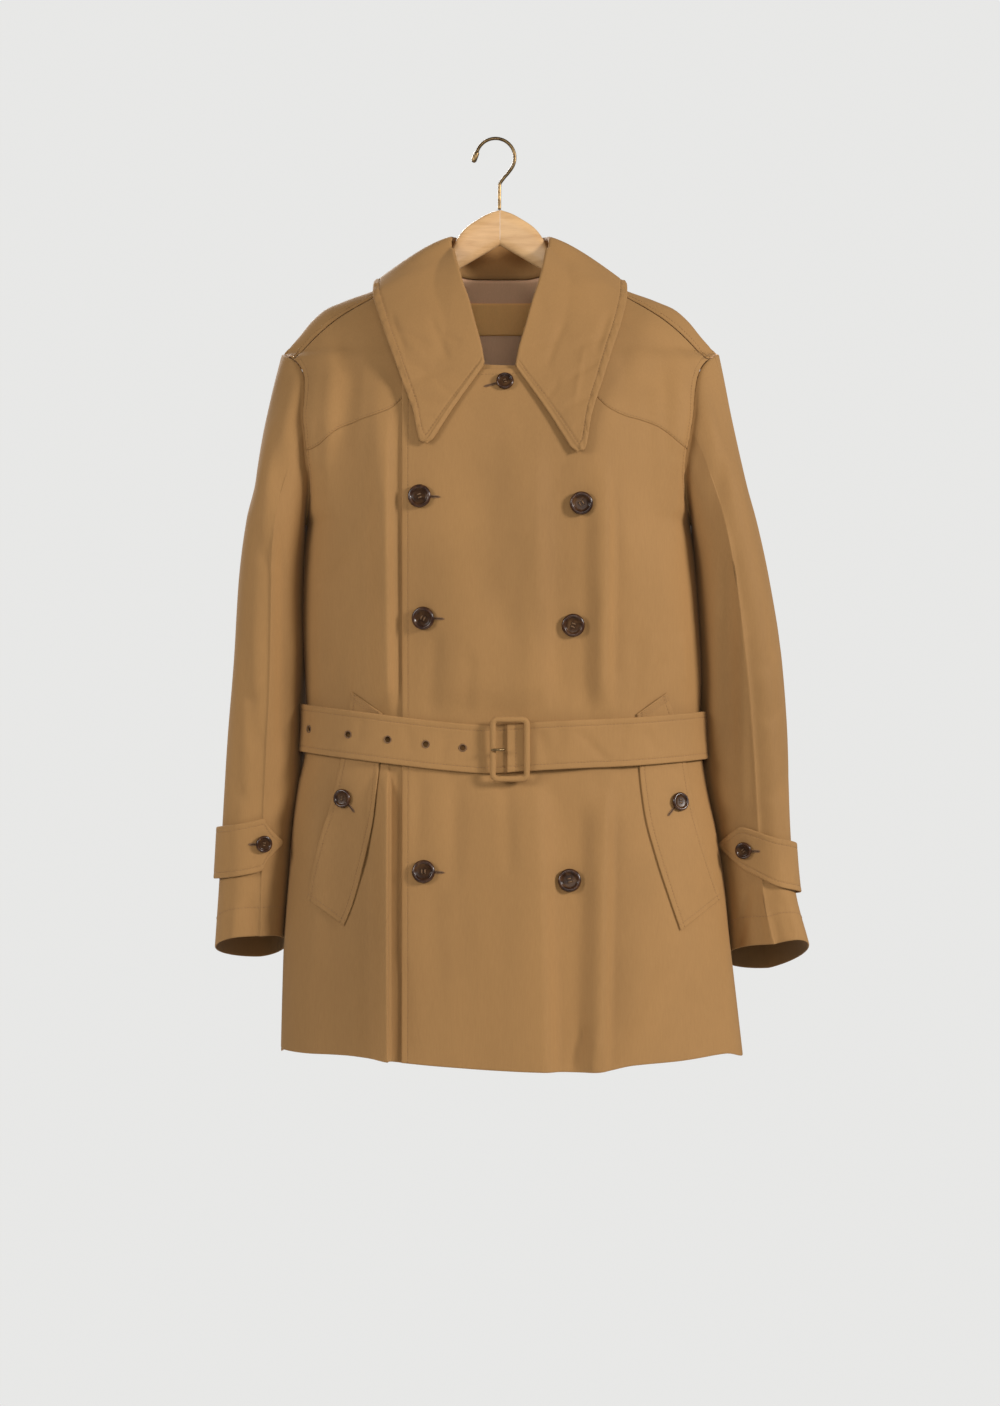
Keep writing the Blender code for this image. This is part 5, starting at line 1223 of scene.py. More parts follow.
def flat_turn(side, angle):
    """The angle at which the flattened sleeve is as far across as the rounder one at an angle."""
    turn = np.radians(angle)
    across, front = np.cos(turn), np.sin(turn) > 0
    flat = np.where(across > 0, FLAT_OUTER, FLAT_INNER)
    share = np.abs(across) ** (SLEEVE_CREASE[side] / flat)
    return np.where(front, np.degrees(np.arccos(np.sign(across) * share)), angle)


def strap_lift(side, angle):
    """How far out the strap's outer face lies from the sleeve."""
    over_edge = STRAP_BULGE * np.exp(-(angle / 32.0) ** 2)
    return STRAP_LIFT[side] + over_edge + RIDGE_BULGE * np.exp(-((angle - 92.0) / 16.0) ** 2)


def build_straps():
    for side, word in SIDE_WORDS.items():
        shape = CUFF_STRAPS[side]
        corner, tip = shape["angle"][-2:]
        body = spread_over(STRAP_BODY, 3.4, (shape["angle"][0], corner), dense_end=False)
        nose = spread_over(STRAP_NOSE, 2.0, (corner, tip), dense_start=False)[1:]
        angle = np.concatenate((body, nose))
        top, low = (np.interp(angle, shape["angle"], shape[name]) for name in ("top", "low"))
        share = spaced_shares(STRAP_WIDTH, 3.0)
        z = top[:, None] + (low - top)[:, None] * share[None, :]
        point, normal = sleeve_frame(side, flat_turn(side, np.broadcast_to(angle[:, None], z.shape)), z)
        grid = point + normal * strap_lift(side, angle[:, None])[..., None]
        for _ in range(STRAP_SMOOTHING):
            grid[1:-1] = 0.5 * grid[1:-1] + 0.25 * (grid[:-2] + grid[2:])
        skin = Skin(grid, side == LEFT)
        skin.groove(("last", "start", "end"), STRAP_STITCH, 0.35, 0.8)
        cloth_piece(f"cuff_strap_{word}", skin, [f"cuff_strap_{word}"],
                    DOUBLE, round_size=1.6)
        for edge in ("start", "end"):
            stitch_inset(skin, edge, STRAP_STITCH, np.arange(len(angle)) < len(body) + 0.42 * len(nose))
    sew_threads("strap_stitching")


# ================================================================ collar
def collar_line(side, station, part):
    """Points of the collar's roll line or outer edge."""
    x, y, z = (look_up(COLLAR[side], f"{part}_{axis}", station) for axis in "xyz")
    return np.stack((side * x, y, z), axis=-1)


def clear_of_body(points, lift):
    """Spread points of the collar outwards until they stand clear of the coat beneath."""
    x, y, z = np.moveaxis(points, -1, 0)
    peak = ridge_z(x) + lift
    front, back = (np.abs(look_up(DEPTHS, name, z)) + lift for name in ("front", "back"))
    depth = np.where(y < 0, front, back)
    rise = (z - CHEST_Z) / (peak - CHEST_Z)

    def inside(scale):
        level = np.maximum(rise * scale, 0.0)
        return (np.abs(y) * scale / depth) ** (1 / HUMP_POWER) + level ** 2 < 1

    one = np.ones(x.shape)
    scale = np.where(inside(one), halved(one, 6 * one, inside, 30)[1], 1.0)
    return np.stack((x, y * scale, CHEST_Z + (z - CHEST_Z) * scale), -1)


def neck_foot(side, station):
    """Foot of the stand on the neckline: up the front neck, then across the back."""
    share = np.clip((station - STAND_START) / (10.0 - STAND_START), 0, 1)
    turn = 0.15
    reach_front = np.interp(share, [0, turn], [59.0, NECK_HALF])
    reach_back = np.interp(share, [turn, 0.52, 1], [NECK_HALF, 47.0, 0.0])
    in_front = share < turn
    reach = np.where(in_front, reach_front, reach_back)
    z = np.where(in_front, front_neck_z(reach_front), back_neck_z(reach_back))
    y = np.where(in_front, front_y(side * reach, z), back_y(side * reach, z))
    rise = np.interp(reach, STAND_FOOT["reach"], STAND_FOOT["rise"])
    inward = ease((station - 6.2) / 1.5) * 3.6
    return np.stack((side * reach, y - inward, z + rise), -1)


def collar_stations():
    """Side and station of each row of the collar, evenly spaced along its outer half."""
    fine = np.linspace(0, 10, 801)
    at = {}
    for side in (RIGHT, LEFT):
        line = 0.4 * collar_line(side, fine, "roll") + 0.6 * collar_line(side, fine, "edge")
        arc = arc_length(line)
        at[side] = np.interp(spaced(arc[-1], COLLAR_STEP, dense_end=False), arc, fine)
    station = np.concatenate((at[RIGHT], at[LEFT][-2::-1]))
    side = np.concatenate((np.full(len(at[RIGHT]), RIGHT), np.full(len(at[LEFT]) - 1, LEFT)))
    return side, station


def both_sides(side, station, line):
    """A line's points, each taken on its own side."""
    right, left = line(RIGHT, station), line(LEFT, station)
    return np.where(side[:, None] == RIGHT, right, left)


def collar_fall(side, station):
    """The collar's outer leaf from the roll line down to its edge."""
    roll, edge = (both_sides(side, station, lambda *place: collar_line(*place, part))
                  for part in ("roll", "edge"))
    share = np.concatenate(([0.0, 0.01], spaced_shares(LEAF_DEPTH, 2.5, dense_start=False)[1:]))
    fullness = 0.25 + 0.75 * ease(station / 2.6)
    bow = COLLAR_BOW * np.sin(np.pi * share ** 0.7)[None, :] * fullness[:, None]
    forward = np.where(station < STAND_START, -1.0, 1.0)
    blend = ease(np.abs(station - STAND_START) / 1.6)
    fall = roll[:, None] + (edge - roll)[:, None] * share[None, :, None]
    fall[..., 1] += (forward * blend)[:, None] * bow
    fall[..., 2] += (1 - 0.6 * blend)[:, None] * bow
    return clear_of_body(fall, COLLAR_LIFT)


def collar_skin():
    """The whole collar: up the stand, round the roll and down the leaf."""
    side, station = collar_stations()
    fall = collar_fall(side, station)
    outward = -grid_normals(fall)[:, 0]
    away = fall[:, 0] - fall[:, 2]
    away = unit(away - outward * np.sum(away * outward, axis=1, keepdims=True))
    centre = fall[:, 0] - outward * ROLL_RADIUS
    turns = np.linspace(np.pi, 0, STAND_POINTS + 1)[:-1]
    roll = [centre + ROLL_RADIUS * (outward * math.cos(a) + away * math.sin(a)) for a in turns]
    head = roll[0]
    short = head - away * STAND_SHORT - outward * 0.5
    sewn = ease((station - STAND_START - 0.1) / 0.9)[:, None]
    foot = short + (both_sides(side, station, neck_foot) - short) * sewn
    stand = [foot + (head - foot) * share for share in np.linspace(0, 1, STAND_POINTS + 1)[:-1]]
    return Skin(np.concatenate((np.stack(stand + roll, axis=1), fall), axis=1), True)


def build_collar():
    skin = collar_skin()
    for edge in ("first", "last"):
        skin.round_corner(edge, "end", COLLAR_TIP)
    near = edge_distances(skin.points)
    away = np.minimum(np.minimum(near["first"], near["last"]), near["end"])
    leaf = np.arange(skin.points.shape[1])[None, :] > 2 * STAND_POINTS
    border = np.exp(-((away - COLLAR_SEAM) / 0.8) ** 2) * leaf
    band = np.exp(-((away - 0.5 * COLLAR_SEAM) / 2.6) ** 2) * leaf
    along = arc_length(skin.points[:, -12])
    pucker = ripple(along[:, None] + 0.7 * away, 0.7) * band * 1.5
    skin.push(0.7 * border + pucker - 0.3 * band)
    skin.press(COLLAR_WRINKLES)
    skin.press(COLLAR_BACK_WRINKLES, 1)
    cloth_piece("collar", skin, ["collar_fall", "collar_stand"],
                thickness=DOUBLE,
                rounded=("first", "last", "end"), cloth="thick")
    stitch_inset(skin, "end", COLLAR_SEAM, slice(10, -10))
    for edge in ("first", "last"):
        stitch_inset(skin, edge, COLLAR_SEAM, slice(20, -10))
    sew_threads("collar_stitching")


# ================================================================ inside of the neck
def inside_layer(back, names, half, depth, low, high, rows):
    """The back's own points below the neck seam, moved in by this depth."""
    keep = np.abs(names) <= half
    inner = (back.points - back.normals * depth)[keep]
    heights = np.linspace(low, high, rows)
    lines = []
    for line in inner:
        z = np.minimum(heights, line[-1, 2] - 0.3)
        lines.append(interpolated(z, line[:, 2], line))
    return np.array(lines)


def build_inside(back, names):
    grid = inside_layer(back, names, LINING_HALF, CLOTH + LAYER_GAP, LINING_LOW, LINING_TOP, 60)
    skin = Skin(grid, False)
    skin.push(-wrinkles(LINING_WRINKLES, grid[..., 0], grid[..., 2]))
    cloth_piece("back_lining", skin, ["back_lining"], thickness=LINING, round_size=0.8,
                cloth="lining", slot="lining_cloth")
    grid = inside_layer(back, names, LINING_HALF - 2, CLOTH + LINING + 2 * LAYER_GAP, BAND_LOW, BAND_TOP, 18)
    cloth_piece("neck_band", Skin(grid, False), ["neck_band"], thickness=LINING,
                round_size=0.8, cloth="band")


# ================================================================ pockets
def surface_normal(x, z, side):
    """Outward normal of the front that shows at a place."""
    step = 2.0
    slope_x = (shown_front_y(x + step, z, side) - shown_front_y(x - step, z, side)) / (2 * step)
    slope_z = (shown_front_y(x, z + step, side) - shown_front_y(x, z - step, side)) / (2 * step)
    return unit(np.stack((slope_x, np.full(np.shape(slope_x), -1.0), slope_z), -1))


def surface_point(x, z, lift, side):
    """A point this far out from the front that shows."""
    x, z = np.asarray(x, float), np.asarray(z, float)
    return np.stack((x, shown_front_y(x, z, side), z), -1) + surface_normal(x, z, side) * lift


def build_welts():
    for side, word in SIDE_WORDS.items():
        share, across = spaced_shares(WELT_LENGTH, 3.6), spaced_shares(WELT_WIDTH, 3.0)
        inner_x, inner_z, outer_x, outer_z = (look_up(WELTS[side], name, share)
                                              for name in ("inner_x", "inner_z", "outer_x", "outer_z"))
        x = side * (inner_x[:, None] + (outer_x - inner_x)[:, None] * across)
        z = inner_z[:, None] + (outer_z - inner_z)[:, None] * across
        skin = Skin(surface_point(x, z, WELT_LIFT, side), side == LEFT)
        skin.groove(("start", "end"), WELT_STITCH, 0.3, 0.8)
        pucker_sides(skin, column=3, middle=2.6, width=1.8, depth=0.22, phase=1.9)
        name = f"pocket_welt_{word}"
        cloth_piece(name, skin, [name], thickness=WELT_THICK, round_size=1.8,
                    cloth="thick")
        for edge in ("start", "end"):
            stitch_inset(skin, edge, WELT_STITCH)
        for distance in WELT_TACKS:
            stitch_inset(skin, "first", distance, pitch=2.6, length=2.1)
        stitch_inset(skin, "last", WELT_STITCH)
    sew_threads("pocket_stitching")


# ================================================================ belt
def belt_z(x, at_back):
    """Height of the belt's middle."""
    middle = look_up(BELT_LINE, "z", x)
    share = np.minimum(np.abs(x) / BELT_BACK_HALF, 1.0)
    return np.where(at_back, BELT_BACK_Z + (middle - BELT_BACK_Z) * share ** 4, middle)


def belt_frame(x, at_back, z):
    """Points of the coat's smooth waist and their outward directions in plan."""
    reach = reach_at(x, z)
    power = np.where(at_back, BACK_ROUND, FRONT_ROUND)
    depth = np.where(at_back, look_up(DEPTHS, "back", z), look_up(DEPTHS, "front", z))
    share = np.minimum(np.abs(x) / reach, 1.0)
    height = np.sqrt(np.clip(1 - share ** power, 0, 1))
    y = SIDE_Y + (depth - SIDE_Y) * height
    slope = 0.5 * power * share ** (power - 1) / np.maximum(height, 1e-4) / reach * np.abs(depth - SIDE_Y)
    direction = np.stack((np.sign(x) * slope, np.where(at_back, 1.0, -1.0)), -1)
    return np.stack((x, y), -1), unit(direction)


def belt_path():
    """Nominal places round the waist, whether at the back, and the lift of each."""
    first, last = (math.degrees(math.asin(x / BELT_SIDE[LEFT])) for x in (BELT_FOLD_X, BELT_TAIL_X))
    start = spread_over(BELT_START_RUN, 3.4, (first, 90.0), dense_end=False)[:-1]
    back = np.linspace(BELT_BACK_TURN, -BELT_BACK_TURN, BELT_BACK_COLUMNS)
    front = spread_over(BELT_TAIL_RUN, 3.4, (-90.0, last), dense_start=False)
    share = np.sin(np.radians(np.concatenate((start, back, front))))
    at_back = np.repeat((False, True, False), (len(start), len(back), len(front)))
    nominal = share * np.where(share > 0, BELT_SIDE[LEFT], BELT_SIDE[RIGHT])
    over_tail = ease((BELT_FOLD_END - nominal) / (BELT_FOLD_END - BELT_TAIL_X))
    over_tail[len(start):] = 0.0
    lift = BELT_LIFT + (BELT_FOLD_LIFT - BELT_LIFT) * over_tail
    return share, nominal, at_back, lift


def belt_skin():
    """The belt from its fold round the waist to its tail."""
    share, nominal, at_back, lift = belt_path()
    across = spaced(2 * BELT_HALF, 3.2) / BELT_HALF - 1
    z = belt_z(nominal, at_back)[:, None] - BELT_HALF * across[None, :]
    full = share[:, None] * reach_at(np.broadcast_to(share[:, None], z.shape), z)
    x = nominal[:, None] + (full - nominal[:, None]) * ease((np.abs(share) - 0.45) / 0.3)[:, None]
    place, direction = belt_frame(x, np.broadcast_to(at_back[:, None], x.shape), z)
    place = place + direction * lift[:, None, None]
    skin = Skin(np.concatenate((place, z[..., None]), -1), False)
    skin.groove(("start", "end"), BELT_STITCH, 0.35, 0.9)
    pucker_sides(skin, column=8, middle=2.8, width=2.2, depth=0.25, phase=0.4)
    skin.press(BELT_WRINKLES)
    return skin


def tube(line, radius, sides=10, closed=False, squash=1.0, facing=(0, -1, 0)):
    """Vertices and faces of a round thread or rod about a line."""
    line = np.asarray(line, float)
    ahead = np.roll(line, -1, axis=0) - np.roll(line, 1, axis=0)
    if not closed:
        ahead[0], ahead[-1] = line[1] - line[0], line[-1] - line[-2]
    ahead = unit(ahead)
    side = unit(np.cross(ahead, np.broadcast_to(np.asarray(facing, float), line.shape)))
    up = np.cross(side, ahead)
    radius = np.broadcast_to(np.asarray(radius, float), (len(line),))[:, None]
    rings = [line + side * radius * math.cos(a) + up * radius * squash * math.sin(a)
             for a in full_turn(sides)]
    return closed_rings(np.stack(rings, 1), cap_ends=not closed)


def closed_rings(rings, cap_ends=True):
    """A skin over equal rings of points, with its ends filled."""
    rings = np.asarray(rings, float)
    count, sides = rings.shape[:2]
    faces = []
    for ring in range(count - 1 if cap_ends else count):
        following = (ring + 1) % count
        for side in range(sides):
            after = (side + 1) % sides
            faces.append([ring * sides + side, ring * sides + after,
                          following * sides + after, following * sides + side])
    if cap_ends:
        faces.append(list(range(sides))[::-1])
        faces.append([(count - 1) * sides + side for side in range(sides)])
    return rings.reshape(-1, 3), faces


def joined(parts):
    """Several meshes as one list of vertices and faces."""
    vertices, faces, count = [], [], 0
    for points, cells in parts:
        vertices.append(points)
        faces += [[count + corner for corner in cell] for cell in cells]
        count += len(points)
    return np.concatenate(vertices), faces


def face_outwards(piece):
    """Turn every face of a closed piece outwards."""
    work = bmesh.new()
    work.from_mesh(piece.data)
    bmesh.ops.recalc_face_normals(work, faces=work.faces)
    work.to_mesh(piece.data)
    work.free()
    return piece


def sharpen(piece, degrees):
    """Keep the edges sharp where faces meet at more than this angle."""
    piece.data.set_sharp_from_angle(angle=math.radians(degrees))


def solid_piece(name, mesh, look, slot, *nodes):
    """A closed piece from its vertices and faces, settled in its place."""
    return settle(face_outwards(link_mesh(name, *mesh, LOOKS[look])), slot, *nodes)


def cut_away(piece, vertices, faces):
    """Take a volume out of a piece, for good."""
    cutter = face_outwards(link_mesh("cutter", vertices, faces, LOOKS["painted_shade_slit"]))
    cut = piece.modifiers.new("cut", "BOOLEAN")
    cut.operation = "DIFFERENCE"
    cut.solver = "EXACT"
    cut.object = cutter
    state = bpy.context.evaluated_depsgraph_get()
    mesh = bpy.data.meshes.new_from_object(piece.evaluated_get(state))
    piece.modifiers.clear()
    piece.data = mesh
    bpy.data.objects.remove(cutter, do_unlink=True)


def circle(middle, right, up, radius, count):
    """Points round a middle, in the plane of two directions."""
    turns = full_turn(count)
    return middle + radius * (np.cos(turns)[:, None] * right + np.sin(turns)[:, None] * up)


def build_belt():
    skin = belt_skin()
    vertices, faces, _ = skin.shell(DOUBLE, 1.6)
    belt = link_mesh("belt_cloth", vertices, faces, LOOKS["cloth"])
    cutters, eyelets = [], []
    up = np.array([0.0, 0.0, 1.0])
    for x in BELT_HOLES_X:
        z = float(belt_z(x, False))
        place, direction = belt_frame(np.array(x), np.array(False), np.array(z))
        out = np.array([*direction, 0.0])
        right = np.cross(up, out)
        middle = np.array([*(place + direction * BELT_LIFT), z])
        rings = [circle(middle + out * depth, right, up, BELT_HOLE_RADIUS, 20) for depth in HOLE_CUT]
        cutters.append(closed_rings(rings))
        ring = circle(middle + out * 0.1, right, up, BELT_HOLE_RADIUS + 0.5, 28)
        eyelets.append(tube(ring, EYELET_THREAD, 8, closed=True, facing=out))
    cut_away(belt, *joined(cutters))
    settle(belt, "shell_cloth", "belt")
    solid_piece("belt_eyelets", joined(eyelets), "hole_thread", "shell_cloth")
    for edge in ("start", "end"):
        stitch_inset(skin, edge, BELT_STITCH, slice(4, -4))
    stitch_inset(skin, "first", 1.5 * BELT_STITCH)
    sew_threads("belt_stitching")


def buckle_loop():
    """The covered frame's centre line and its outward directions."""
    half_x = BUCKLE_WIDTH / 2 - BUCKLE_BAR / 2
    half_z = BUCKLE_HEIGHT / 2 - BUCKLE_BAR / 2
    corner = BUCKLE_CORNER - BUCKLE_BAR / 2
    loop = []
    for quarter, (sign_x, sign_z) in enumerate(((1, 1), (-1, 1), (-1, -1), (1, -1))):
        for step in range(CORNER_STEPS + 1):
            angle = math.pi / 2 * (quarter + step / CORNER_STEPS)
            loop.append((sign_x * (half_x - corner) + corner * math.cos(angle),
                         sign_z * (half_z - corner) + corner * math.sin(angle),
                         math.cos(angle), math.sin(angle)))
        x, z, out_x, out_z = loop[-1]
        run = 2 * (half_x - corner) if quarter in (0, 2) else 2 * (half_z - corner)
        loop += [(x - out_z * run * step / CORNER_STEPS, z + out_x * run * step / CORNER_STEPS, out_x, out_z)
                 for step in range(1, CORNER_STEPS)]
    return loop


def build_buckle():
    face = float(look_up(DEPTHS, "front", BUCKLE_Z)) - BUCKLE_LIFT - BUCKLE_DEPTH / 2
    rings = []
    for number, (x, z, out_x, out_z) in enumerate(buckle_loop()):
        ring = []
        swell = 1 + 0.03 * math.sin(2.3 * number) + 0.02 * math.sin(1.1 * number)
        for side in range(BUCKLE_SIDES):
            angle = 2 * math.pi * side / BUCKLE_SIDES
            off = BUCKLE_BAR / 2 * math.cos(angle) * swell
            ring.append((BUCKLE_X + x + out_x * off, face + BUCKLE_DEPTH / 2 * math.sin(angle),
                         BUCKLE_Z + z + out_z * off))
        rings.append(ring)
    solid_piece("buckle_cover", closed_rings(rings, cap_ends=False), "thick", "shell_cloth", "buckle_frame")
    front = face - BUCKLE_DEPTH / 2 - PRONG_RADIUS - 0.4
    path = [(BELT_FOLD_X - 2.2, front + 2.6), (BELT_FOLD_X - 4, front + 1.5), (BELT_FOLD_X - 6, front + 0.8),
            (1.0, front + 0.2), (-2.0, front), (-6.0, front), (-8.0, front), (-9.0, front + 0.1)]
    line = [(x, y, BUCKLE_Z - 0.5) for x, y in path]
    sizes = PRONG_RADIUS * np.array([1, 1, 1, 1, 1, 1, 0.85, 0.45])
    prong = tube(line, sizes, 16, facing=(0, 0, 1))
    solid_piece("buckle_prong_metal", prong, "bronze", "bronze", "buckle_prong")


# ================================================================ buttons
BUTTON_PROFILE = [
    (0.55, 0.02), (0.80, 0.0), (0.93, 0.10), (0.99, 0.28), (1.00, 0.45), (0.99, 0.62), (0.965, 0.78),
    (0.925, 0.90), (0.87, 0.975), (0.82, 1.0), (0.775, 0.985), (0.735, 0.93), (0.70, 0.83), (0.67, 0.72),
    (0.64, 0.63), (0.60, 0.585), (0.50, 0.56), (0.25, 0.55),
]                         # radius and height of its rings, from the underside round to the dish
HOLE_AT, HOLE_SIZE = 0.20, 0.092              # all in the button's radii
BUTTON_THREAD, SHANK_RADIUS = 0.055, 0.16
DISH_REACH = 0.66         # the button's lighter middle, in its radii
HOLE_HALF, PURL_RADIUS = 0.85, 0.62           # the buttonhole's half width and its thread


def base_button():
    """A rimmed button of radius 1 and height 1 with four holes through its middle."""
    rings = [[(r * math.cos(a), r * math.sin(a), h) for a in full_turn(48)] for r, h in BUTTON_PROFILE]
    vertices, faces = closed_rings(rings)
    piece = face_outwards(link_mesh("base_button", vertices / MM, faces, LOOKS["horn"], centred=False))
    holes = []
    right, up, out = np.eye(3)
    for turn in (45, 135, 225, 315):
        middle = HOLE_AT * np.array([math.cos(math.radians(turn)), math.sin(math.radians(turn)), 0.0])
        holes.append(closed_rings([circle(middle + out * h, right, up, HOLE_SIZE, 16) for h in (-0.5, 1.5)]))
    points, cells = joined(holes)
    cut_away(piece, points / MM - np.array([CENTRE_X, 0, 0]), cells)
    mesh = piece.data
    corners = np.zeros(len(mesh.vertices) * 3)
    mesh.vertices.foreach_get("co", corners)
    faces = [list(cell.vertices) for cell in mesh.polygons]
    bpy.data.objects.remove(piece, do_unlink=True)
    return corners.reshape(-1, 3), faces


def button_threads():
    """Two strands across the button's holes, in its own sizes."""
    at = HOLE_AT * math.sin(math.radians(45))
    strand = ((-at * 1.15, 0.35), (-at * 0.8, 0.66), (0, 0.72), (at * 0.8, 0.66), (at * 1.15, 0.35))
    return [np.array([(x, side * at, z) for x, z in strand]) for side in (-1, 1)]


def put_button(name, base, size, place, normal, spin):
    """A button and its thread; the middle of its underside is at a place."""
    radius, height = size
    axes = np.array(Vector((0, 0, 1)).rotation_difference(Vector([float(v) for v in normal])).to_matrix())
    c, s = math.cos(math.radians(spin)), math.sin(math.radians(spin))
    spun = np.array([[c, -s, 0], [s, c, 0], [0, 0, 1]])

    def laid(points):
        return points @ spun.T @ axes.T + place

    vertices = laid(base[0] * np.array([radius, radius, height]))
    piece = link_mesh(name + "_horn", vertices, base[1], LOOKS["horn"])
    sharpen(piece, 35)
    piece.data.materials.append(LOOKS["horn_middle"])
    for cell in piece.data.polygons:
        middle = np.mean([base[0][corner] for corner in cell.vertices], axis=0)
        cell.material_index = int(math.hypot(middle[0], middle[1]) < DISH_REACH and middle[2] > 0.4)
    settle(piece, "horn", name)
    strands = []
    for line in button_threads():
        strand = line * radius * np.array([1, 1, height / radius])
        points, cells = tube(strand, BUTTON_THREAD * radius, 8, facing=(0, 0, 1))
        strands.append((laid(points), cells))
    shank = [place - normal * 1.2, place + normal * height * 0.4]
    strands.append(tube(np.array(shank), radius * SHANK_RADIUS, 10, facing=axes[:, 0]))
    solid_piece(name + "_thread", joined(strands), "hole_thread", "shell_cloth")


def buttonhole(name, line, normals):
    """A worked buttonhole along a short line on the cloth: a near-black tube of painted shade in its cut,
    between two purled edges.
    """
    side = unit(np.cross(np.gradient(line, axis=0), normals))
    share = np.linspace(0, 1, len(line))
    half = side * (HOLE_HALF * np.sqrt(np.clip(1 - (2 * share - 1) ** 6, 0, 1)))[:, None]
    loop = np.concatenate((line + half, (line - half)[::-1][1:-1]))
    facing = np.concatenate((normals, normals[::-1][1:-1]))
    purl = tube(loop + facing * 0.15, PURL_RADIUS, 8, closed=True, facing=facing)
    solid_piece(name + "_hole_purl", purl, "hole_thread", "shell_cloth")
    painted_shade_slit = tube(line[1:-1] + normals[1:-1] * 0.12, PURL_RADIUS, 8, squash=0.35, facing=normals[1:-1])
    solid_piece(name + "_hole_slit", painted_shade_slit, "painted_shade_slit", "shell_cloth")


def front_height(place, normal, x, z, lift, side, reach):
    """How far the cloth round a button rises above the place beneath its middle."""
    turns = full_turn(8)
    rims = surface_point(x + reach * np.cos(turns), z + reach * np.sin(turns), lift, side)
    return max(float(np.max((rims - place) @ normal)), 0.0)


def build_buttons():
    base = base_button()

    def on_front(name, size, x, z, lift, side, spin, hole=None):
        normal = surface_normal(np.array(float(x)), np.array(float(z)), side)
        place = surface_point(x, z, lift, side)
        height = front_height(place, normal, x, z, lift, side, size[0] * 0.8)
        put_button(name, base, size, place + normal * (height + BUTTON_GAP), normal, spin)
        if hole is not None:
            start, end = hole
            share = np.linspace(0, 1, HOLE_POINTS)
            xs = x + start[0] + (end[0] - start[0]) * share
            zs = z + start[1] + (end[1] - start[1]) * share
            line = surface_point(xs, zs, lift + 0.1, side)
            buttonhole(name, line, surface_normal(xs, zs, side))

    on_front("button_collar", COLLAR_BUTTON, *COLLAR_BUTTON_AT, 0.0, LEFT, 20, COLLAR_HOLE)
    for number, (x, z) in enumerate(FRONT_BUTTONS):
        hole = FRONT_HOLE if x < 0 else None
        on_front(f"button_front_{number + 1}", FRONT_BUTTON, x, z, 0.0, LEFT, 12 + 37 * number, hole)
    for side, word in SIDE_WORDS.items():
        x, z = POCKET_BUTTONS[side]
        hole = [(-side * across, up) for across, up in POCKET_HOLE]
        on_front(f"button_pocket_{word}", POCKET_BUTTON, x, z, WELT_LIFT, side, 30 * side, hole)
        angle, z = CUFF_BUTTONS[side]
        point, normal = sleeve_frame(side, flat_turn(side, angle), z)
        lift = strap_lift(side, angle) + CUFF_BUTTON_GAP[side]
        put_button(f"button_cuff_{word}", base, CUFF_BUTTON, point + normal * lift, normal, 15)
        turns = angle - np.linspace(*CUFF_HOLE, HOLE_POINTS)
        line, normals = sleeve_frame(side, flat_turn(side, turns), np.full(HOLE_POINTS, z) - 0.5)
        line = line + normals * (strap_lift(side, turns) + 0.1)[:, None]
        buttonhole(f"button_cuff_{word}", line, normals)


# ================================================================ hanger
def build_hanger():
    for side, word in SIDE_WORDS.items():
        nose = HANGER_EVEN + HANGER_NOSE * np.sin(np.linspace(0, np.pi / 2, 9)[1:])
        stations = np.concatenate((np.linspace(0.12, HANGER_EVEN, 76), nose))
        top, low = (look_up(edge, "z", stations) for edge in (HANGER_TOP, HANGER_LOW))
        past = (stations - HANGER_TAPER) / HANGER_TAPER_RUN
        taper = np.where(past < 0, 1.0, np.sqrt(np.clip(1 - past ** 2, 0.05, 1)))
        sweep = -HANGER_SWEEP * (stations / (HANGER_EVEN + HANGER_NOSE)) ** 2
        turns = 2 * math.pi * (np.arange(40) + 0.5) / 40
        c, s = np.cos(turns), np.sin(turns)
        shape = (np.abs(c) ** HANGER_SQUARE + np.abs(s) ** HANGER_SQUARE) ** (-1 / HANGER_SQUARE)
        y = sweep[:, None] + HANGER_HALF_THICK * taper[:, None] * (c * shape)[None, :]
        z = 0.5 * (top + low)[:, None] + 0.5 * (top - low)[:, None] * (s * shape)[None, :]
        x = np.broadcast_to(side * stations[:, None], y.shape)
        arm = closed_rings(np.stack((x, y, z), -1))
        piece = solid_piece(f"hanger_{word}", arm, f"beech_{word}", "beech", f"hanger_arm_{word}")
        sharpen(piece, 50)
    build_hook()


def hook_line():
    """Centre line of the hook: up the stem, round the crown and down to the open end."""
    xs, zs = (list(places) for places in zip(*HOOK_STEM))
    for degrees in np.linspace(*HOOK_TURN, 27):
        angle = math.radians(degrees)
        xs.append(HOOK_CENTRE[0] + HOOK_RADIUS * math.cos(angle))
        zs.append(HOOK_CENTRE[1] + HOOK_RADIUS * math.sin(angle))
    arc = np.concatenate(([0], np.cumsum(np.hypot(np.diff(xs), np.diff(zs)))))
    at = np.linspace(0, arc[-1], HOOK_POINTS)
    return np.stack((smooth(arc, np.array(xs), at), np.zeros(HOOK_POINTS), smooth(arc, np.array(zs), at)), -1)


def build_hook():
    line = hook_line()
    solid_piece("hook_wire", tube(line, HOOK_WIRE / 2, 20), "bronze", "bronze", "hook")
    heading = unit(line[-1] - line[-2])
    distance, size = np.array(HOOK_CAP).T
    points = line[-1] + heading * 0.6 + heading * distance[:, None]
    solid_piece("hook_cap", tube(points, HOOK_CAP_RADIUS * size, 20), "bronze", "bronze", "hook_tip")


